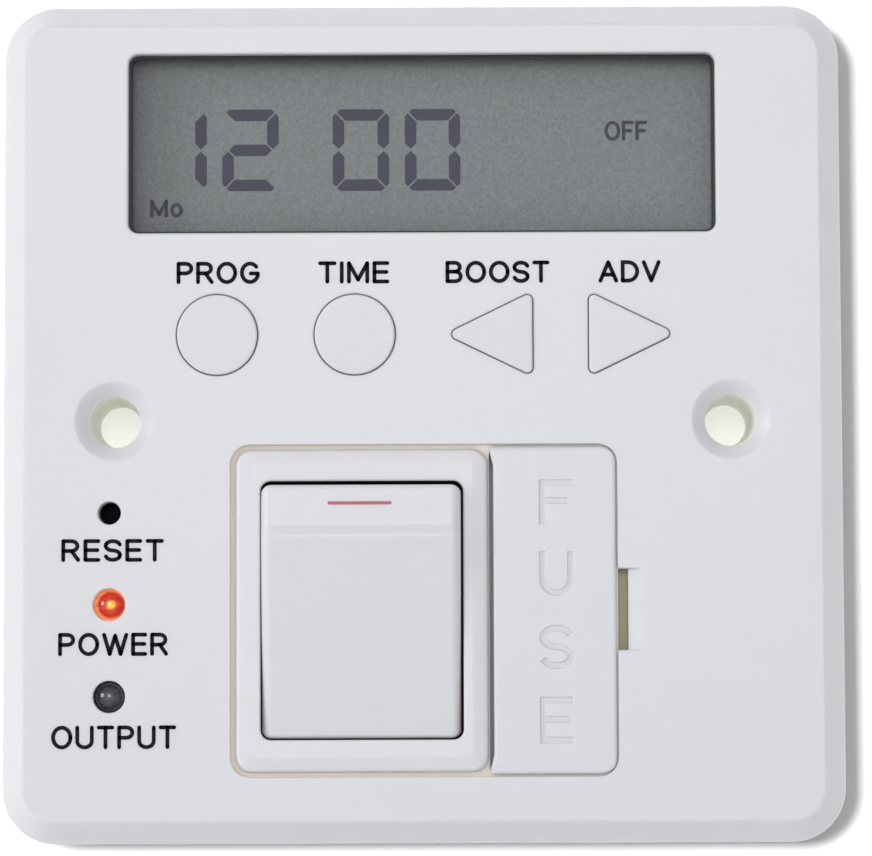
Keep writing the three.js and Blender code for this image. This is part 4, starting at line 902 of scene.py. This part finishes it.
# (width, strokes) of plain letters on a unit-high body; a stroke is (points, closed).
GLYPHS = {
    "A": (0.72, [line((0, 0), (0.36, 1), (0.72, 0)), line((0.13, 0.33), (0.59, 0.33))]),
    "B": (0.6, [line((0, 0), (0, 1), *bowl(0.34, 0.76, 0.22, 0.24), (0, 0.52)),
                line((0.34, 0.52), *bowl(0.36, 0.26, 0.24, 0.26), (0, 0))]),
    "D": (0.66, [([(0, 0), (0, 1), *bowl(0.24, 0.5, 0.42, 0.5, 14)], True)]),
    "E": (0.54, [line((0.54, 1), (0, 1), (0, 0), (0.54, 0)), line((0, 0.52), (0.5, 0.52))]),
    "F": (0.52, [line((0.52, 1), (0, 1), (0, 0)), line((0, 0.5), (0.44, 0.5))]),
    "G": (0.74, [line(*arc_points(0.37, 0.5, 0.37, 0.5, 40, 340, 20), (0.72, 0.46), (0.4, 0.46))]),
    "I": (0.0, [line((0, 0), (0, 1))]),
    "M": (0.76, [line((0, 0), (0, 1), (0.38, 0.1), (0.76, 1), (0.76, 0))]),
    "O": (0.76, [oval(0.38, 0.5, 0.38, 0.5, 28)]),
    "P": (0.58, [line((0, 0), (0, 1), *bowl(0.32, 0.74, 0.26, 0.26), (0, 0.48))]),
    "R": (0.62, [line((0, 0), (0, 1), *bowl(0.34, 0.74, 0.25, 0.26), (0, 0.48)),
                 line((0.34, 0.48), (0.62, 0))]),
    "S": (0.6, [line(*s_line(0, 0.6, 0, 1))]),
    "T": (0.6, [line((0, 1), (0.6, 1)), line((0.3, 1), (0.3, 0))]),
    "U": (0.64, [line((0, 1), *arc_points(0.32, 0.31, 0.32, 0.31, 180, 360, 14), (0.64, 1))]),
    "V": (0.68, [line((0, 1), (0.34, 0), (0.68, 1))]),
    "W": (0.98, [line((0, 1), (0.25, 0), (0.49, 0.95), (0.73, 0), (0.98, 1))]),
    "o": (0.48, [oval(0.24, 0.38, 0.24, 0.38, 20)]),
}
LETTER_GAP = 0.3


def smooth_runs(points, closed, limit=math.radians(28)):
    """A line split where it turns sharply, so that each run can be mitred."""
    points = [Vector(p) for p in points]
    if closed:
        return [points + points[:1]]
    runs, run = [], [points[0]]
    for before, here, after in zip(points, points[1:], points[2:]):
        run.append(here)
        if (here - before).angle(after - here) > limit:
            runs.append(run)
            run = [here]
    return [*runs, [*run, points[-1]]]


def strokes(word, x0, x1, z0, z1, weight):
    """Outlines of a word fitted between x0 and x1, drawn with one round pen."""
    height = z1 - z0 - weight
    total = sum(GLYPHS[char][0] for char in word) + LETTER_GAP * (len(word) - 1)
    scale = (x1 - x0 - weight) / total
    x = x0 + weight / 2
    loops = []
    for char in word:
        width, lines = GLYPHS[char]
        for points, closed in lines:
            placed = [(x + u * scale, z0 + weight / 2 + v * height) for u, v in points]
            for run in smooth_runs(placed, closed):
                left, right = band(run, weight)
                loops += [[left[i], left[i + 1], right[i + 1], right[i]] for i in range(len(left) - 1)]
                loops += [circle(end.x, end.y, weight / 2, 14) for end in (run[0], run[-1])]
        x += (width + LETTER_GAP) * scale
    return loops


KEY_LEGEND_Z = (13.45, 15.65)
LEGENDS = (
    ("PROG", -24.07, -15.87, *KEY_LEGEND_Z), ("TIME", -10.2, -3.22, *KEY_LEGEND_Z),
    ("BOOST", 2.27, 12.47, *KEY_LEGEND_Z), ("ADV", 17.25, 23.35, *KEY_LEGEND_Z),
    ("RESET", -35.27, -25.27, -13.72, -11.5), ("POWER", -35.55, -24.85, -22.88, -20.62),
    ("OUTPUT", -36.2, -24.05, -31.92, -29.62),
)
LEGEND_WEIGHT = 0.385


def legends():
    """The printed function words, drawn in plain letters."""
    loops = []
    for legend in LEGENDS:
        loops += strokes(*legend, LEGEND_WEIGHT)
    flat_shapes("function_legends", loops, FACE - 0.004, 0.012, M_INK)


# ---- Lamps ----

DOME_BASE = -8.6
DOME_HEIGHT = 1.4
LAMP_FLANGE = ((LAMP_RADIUS, -6.0), (1.9, -6.0), (1.9, -4.9), (0.0, -4.9))


def lamps():
    """Two domed lamps with a flange behind the plate."""
    for name, z in LAMPS.items():
        material, slot = (M_LAMP_LIT, "red_lamp") if name == "power_lamp" else (M_LAMP_OFF, "grey_lamp")
        body = Body()
        turns = [math.pi / 2 * k / 8 for k in range(9)]
        dome = [(LAMP_RADIUS * math.sin(a), DOME_BASE - DOME_HEIGHT * math.cos(a)) for a in turns]
        body.lathe(INDICATOR_X, z, [*dome, *LAMP_FLANGE], 40)
        body.done(name + "_lens", "timer_body", material, [name], sharp=60.0)


# ---- CAD solids that stay, with softened edges and their own materials ----

KEPT = {
    "lcd_cell": M_DISPLAY_PAINTED_SHADE, "rear_cover": M_REAR, "terminal_block": M_BLOCK, "lcd_frame": M_DARK,
    "fuse_housing": M_BEZEL, "lcd_contact_strip": M_RUBBER, "control_board": M_BOARD,
    "power_board": M_BOARD, "microcontroller": M_BLACK, "backup_cell": M_STEEL,
    "board_link": M_BLACK, "relay": M_BLACK, "dropper_capacitor": M_BLUE,
    "smoothing_capacitor": M_BLUE, "fuse_body": M_CERAMIC,
}
KEPT_BY_WORD = (
    ("_plunger", M_DARK), ("_switch", M_DARK), ("_terminal", M_BRASS), ("_screw", M_STEEL),
    ("screw_", M_STEEL), ("rocker_spring", M_STEEL), ("moving_contact", M_BRASS),
    ("fixed_contact", M_BRASS), ("fuse_cap", M_STEEL), ("fuse_clip", M_BRASS),
)
REPLACED = {"front_plate", "display_window", "switch_housing", "rocker", "fuse_carrier", "reset_plunger",
            "power_lamp", "output_lamp", *(name + "_button" for name in KEYS)}
EDGE_WIDTHS = {"rear_cover": 0.5, "terminal_block": 0.3}
EDGE_WIDTH = 0.15


def keep_cad():
    for name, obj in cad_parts.items():
        if name in REPLACED:
            continue
        material = KEPT.get(name) or next((m for part, m in KEPT_BY_WORD if part in name), M_DARK)
        obj.data.materials.clear()
        obj.data.materials.append(material)
        flat = obj.modifiers.new("planar", "DECIMATE")
        flat.decimate_type = "DISSOLVE"
        flat.angle_limit = math.radians(0.5)
        bevel = obj.modifiers.new("edges", "BEVEL")
        bevel.limit_method = "ANGLE"
        bevel.angle_limit = math.radians(40)
        bevel.width = EDGE_WIDTHS.get(name, EDGE_WIDTH) * MM
        bevel.segments = 2
        bevel.use_clamp_overlap = True
        bevel.harden_normals = False
        weighted = obj.modifiers.new("weighted", "WEIGHTED_NORMAL")
        weighted.keep_sharp = True


# ---- Wall, floor, light and camera ----


def stage_material(name, colour, glow):
    """Matt paint. With a glow it shows from its front only, and is clear from behind."""
    n = Nodes(name)
    n.link(n.ramp(n.noise(8.0), [(0.3, shade(colour, 0.995)), (0.7, colour)]), n.shader.inputs["Base Color"])
    n.set(Roughness=0.9, Specular_IOR_Level=0.1)
    if glow:
        n.set(Emission_Color=(*colour, 1), Emission_Strength=glow)
        geometry = n.tree.nodes.new("ShaderNodeNewGeometry")
        clear = n.tree.nodes.new("ShaderNodeBsdfTransparent")
        mix = n.tree.nodes.new("ShaderNodeMixShader")
        n.link(geometry.outputs["Backfacing"], mix.inputs[0])
        n.link(n.shader.outputs[0], mix.inputs[1])
        n.link(clear.outputs[0], mix.inputs[2])
        n.link(mix.outputs[0], n.tree.nodes["Material Output"].inputs["Surface"])
    return n.material


def sheet(name, place, loops, material, away):
    """A flat stage sheet filled between outlines, its front turned from the given direction."""
    body = Body(place)
    for group in loops:
        body.fill(*[body.ring(loop, w) for loop, w in group])
    for face in body.bm.faces:
        face.normal_update()
        if face.normal.dot(away) > 0:
            face.normal_flip()
    mesh = bpy.data.meshes.new(name)
    body.bm.to_mesh(mesh)
    body.bm.free()
    mesh.materials.append(material)
    obj = bpy.data.objects.new(name, mesh)
    bpy.context.scene.collection.objects.link(obj)
    return obj


WALL_Y = REAR + 0.02
WALL_TOP = 1200.0
STAGE_REACH = 900.0
FLOOR_Z = -60.0
BORE_BACK_RADIUS = 3.4


def stage():
    """The wall with its opening behind the plate, glowing discs of painted light behind the fixing holes, and
    the floor.
    """
    back = Vector((0, 1, 0))
    reach = STAGE_REACH
    outer = rectangle((-reach, reach, FLOOR_Z, WALL_TOP))
    half = PLATE_HALF - 0.2
    opening = rectangle((-half, half, -half, half), PLATE_CORNER - 0.2, 14)
    wall = sheet("wall", on_wall, [[(outer, WALL_Y), (opening, WALL_Y)]],
                 stage_material("wall_white", (0.42, 0.42, 0.42), 0.15), back)
    # Painted light: the discs glow to stand in for light that falls through the fixing bores onto the wall.
    discs = [[(circle(side * FIXING_X, 0.0, BORE_BACK_RADIUS, 24), WALL_Y)] for side in (-1, 1)]
    painted_light_discs = sheet("bore_backs", on_wall, discs,
                  stage_material("bore_back_painted_light", linear(238, 239, 234), 0.45), back)
    ground = rectangle((-reach, reach, -reach, reach))
    floor = sheet("floor", lambda u, v, w: (u, v, w), [[(ground, FLOOR_Z)]],
                  stage_material("floor_pale", (0.82, 0.82, 0.82), 0.0), Vector((0, 0, -1)))


def area_light(name, place, size, power):
    """A square lamp, in metres and watts, aimed at the plate's middle."""
    light = bpy.data.lights.new(name, "AREA")
    light.shape = "RECTANGLE"
    light.size = light.size_y = size
    light.energy = power
    obj = bpy.data.objects.new(name, light)
    obj.location = Vector(place)
    obj.rotation_mode = "QUATERNION"
    obj.rotation_quaternion = (-Vector(place)).to_track_quat("-Z", "Y")
    bpy.context.scene.collection.objects.link(obj)
    return obj


SKY = (0.985, 0.99, 1.0, 1)
SKY_STRENGTH = 0.54


def lights():
    """Three lamps for everything, one more for the wall only, and an even sky."""
    area_light("key", (-4.2, -2.6, 1.0), 2.0, 82.0)
    area_light("front", (-0.06, -1.94, 0.33), 0.6, 7.6)
    area_light("back", (0.3, 0.9, 0.6), 0.7, 4.0)
    wall_light = area_light("wall_light", (-0.25, -0.96, 0.05), 0.13, 18.5)
    receivers = bpy.data.collections.new("wall_only")
    receivers.objects.link(bpy.data.objects["wall"])
    wall_light.light_linking.receiver_collection = receivers
    world = bpy.data.worlds.new("studio")
    world.use_nodes = True
    background = world.node_tree.nodes["Background"]
    background.inputs["Color"].default_value = SKY
    background.inputs["Strength"].default_value = SKY_STRENGTH
    bpy.context.scene.world = world
    bpy.context.scene.view_settings.view_transform = "Standard"


# In millimetres and degrees, found by matching the plate's outline in the photo.
CAMERA_DISTANCE = 380.0
CAMERA_ELEVATION = -4.1
CAMERA_AIM = (1.29, FACE, -0.76)
CAMERA_ROLL = 0.21
LENS_PER_DISTANCE = 0.4227


def camera():
    data = bpy.data.cameras.new("camera")
    data.lens = LENS_PER_DISTANCE * CAMERA_DISTANCE
    data.sensor_width = 36.0
    data.clip_start, data.clip_end = 0.01, 20.0
    obj = bpy.data.objects.new("camera", data)
    e = math.radians(CAMERA_ELEVATION)
    back = Vector((0.0, -math.cos(e), math.sin(e)))
    obj.location = (Vector(CAMERA_AIM) + back * CAMERA_DISTANCE) * MM
    obj.rotation_mode = "QUATERNION"
    roll = Matrix.Rotation(math.radians(-CAMERA_ROLL), 3, back)
    obj.rotation_quaternion = (roll @ (-back).to_track_quat("-Z", "Y").to_matrix()).to_quaternion()
    bpy.context.scene.collection.objects.link(obj)
    bpy.context.scene.camera = obj


front_plate()
keys()
bezel()
rocker()
fuse_cover()
window_pane()
pane_gap_shade()
display_marks()
legends()
lamps()
keep_cad()
stage()
lights()
camera()
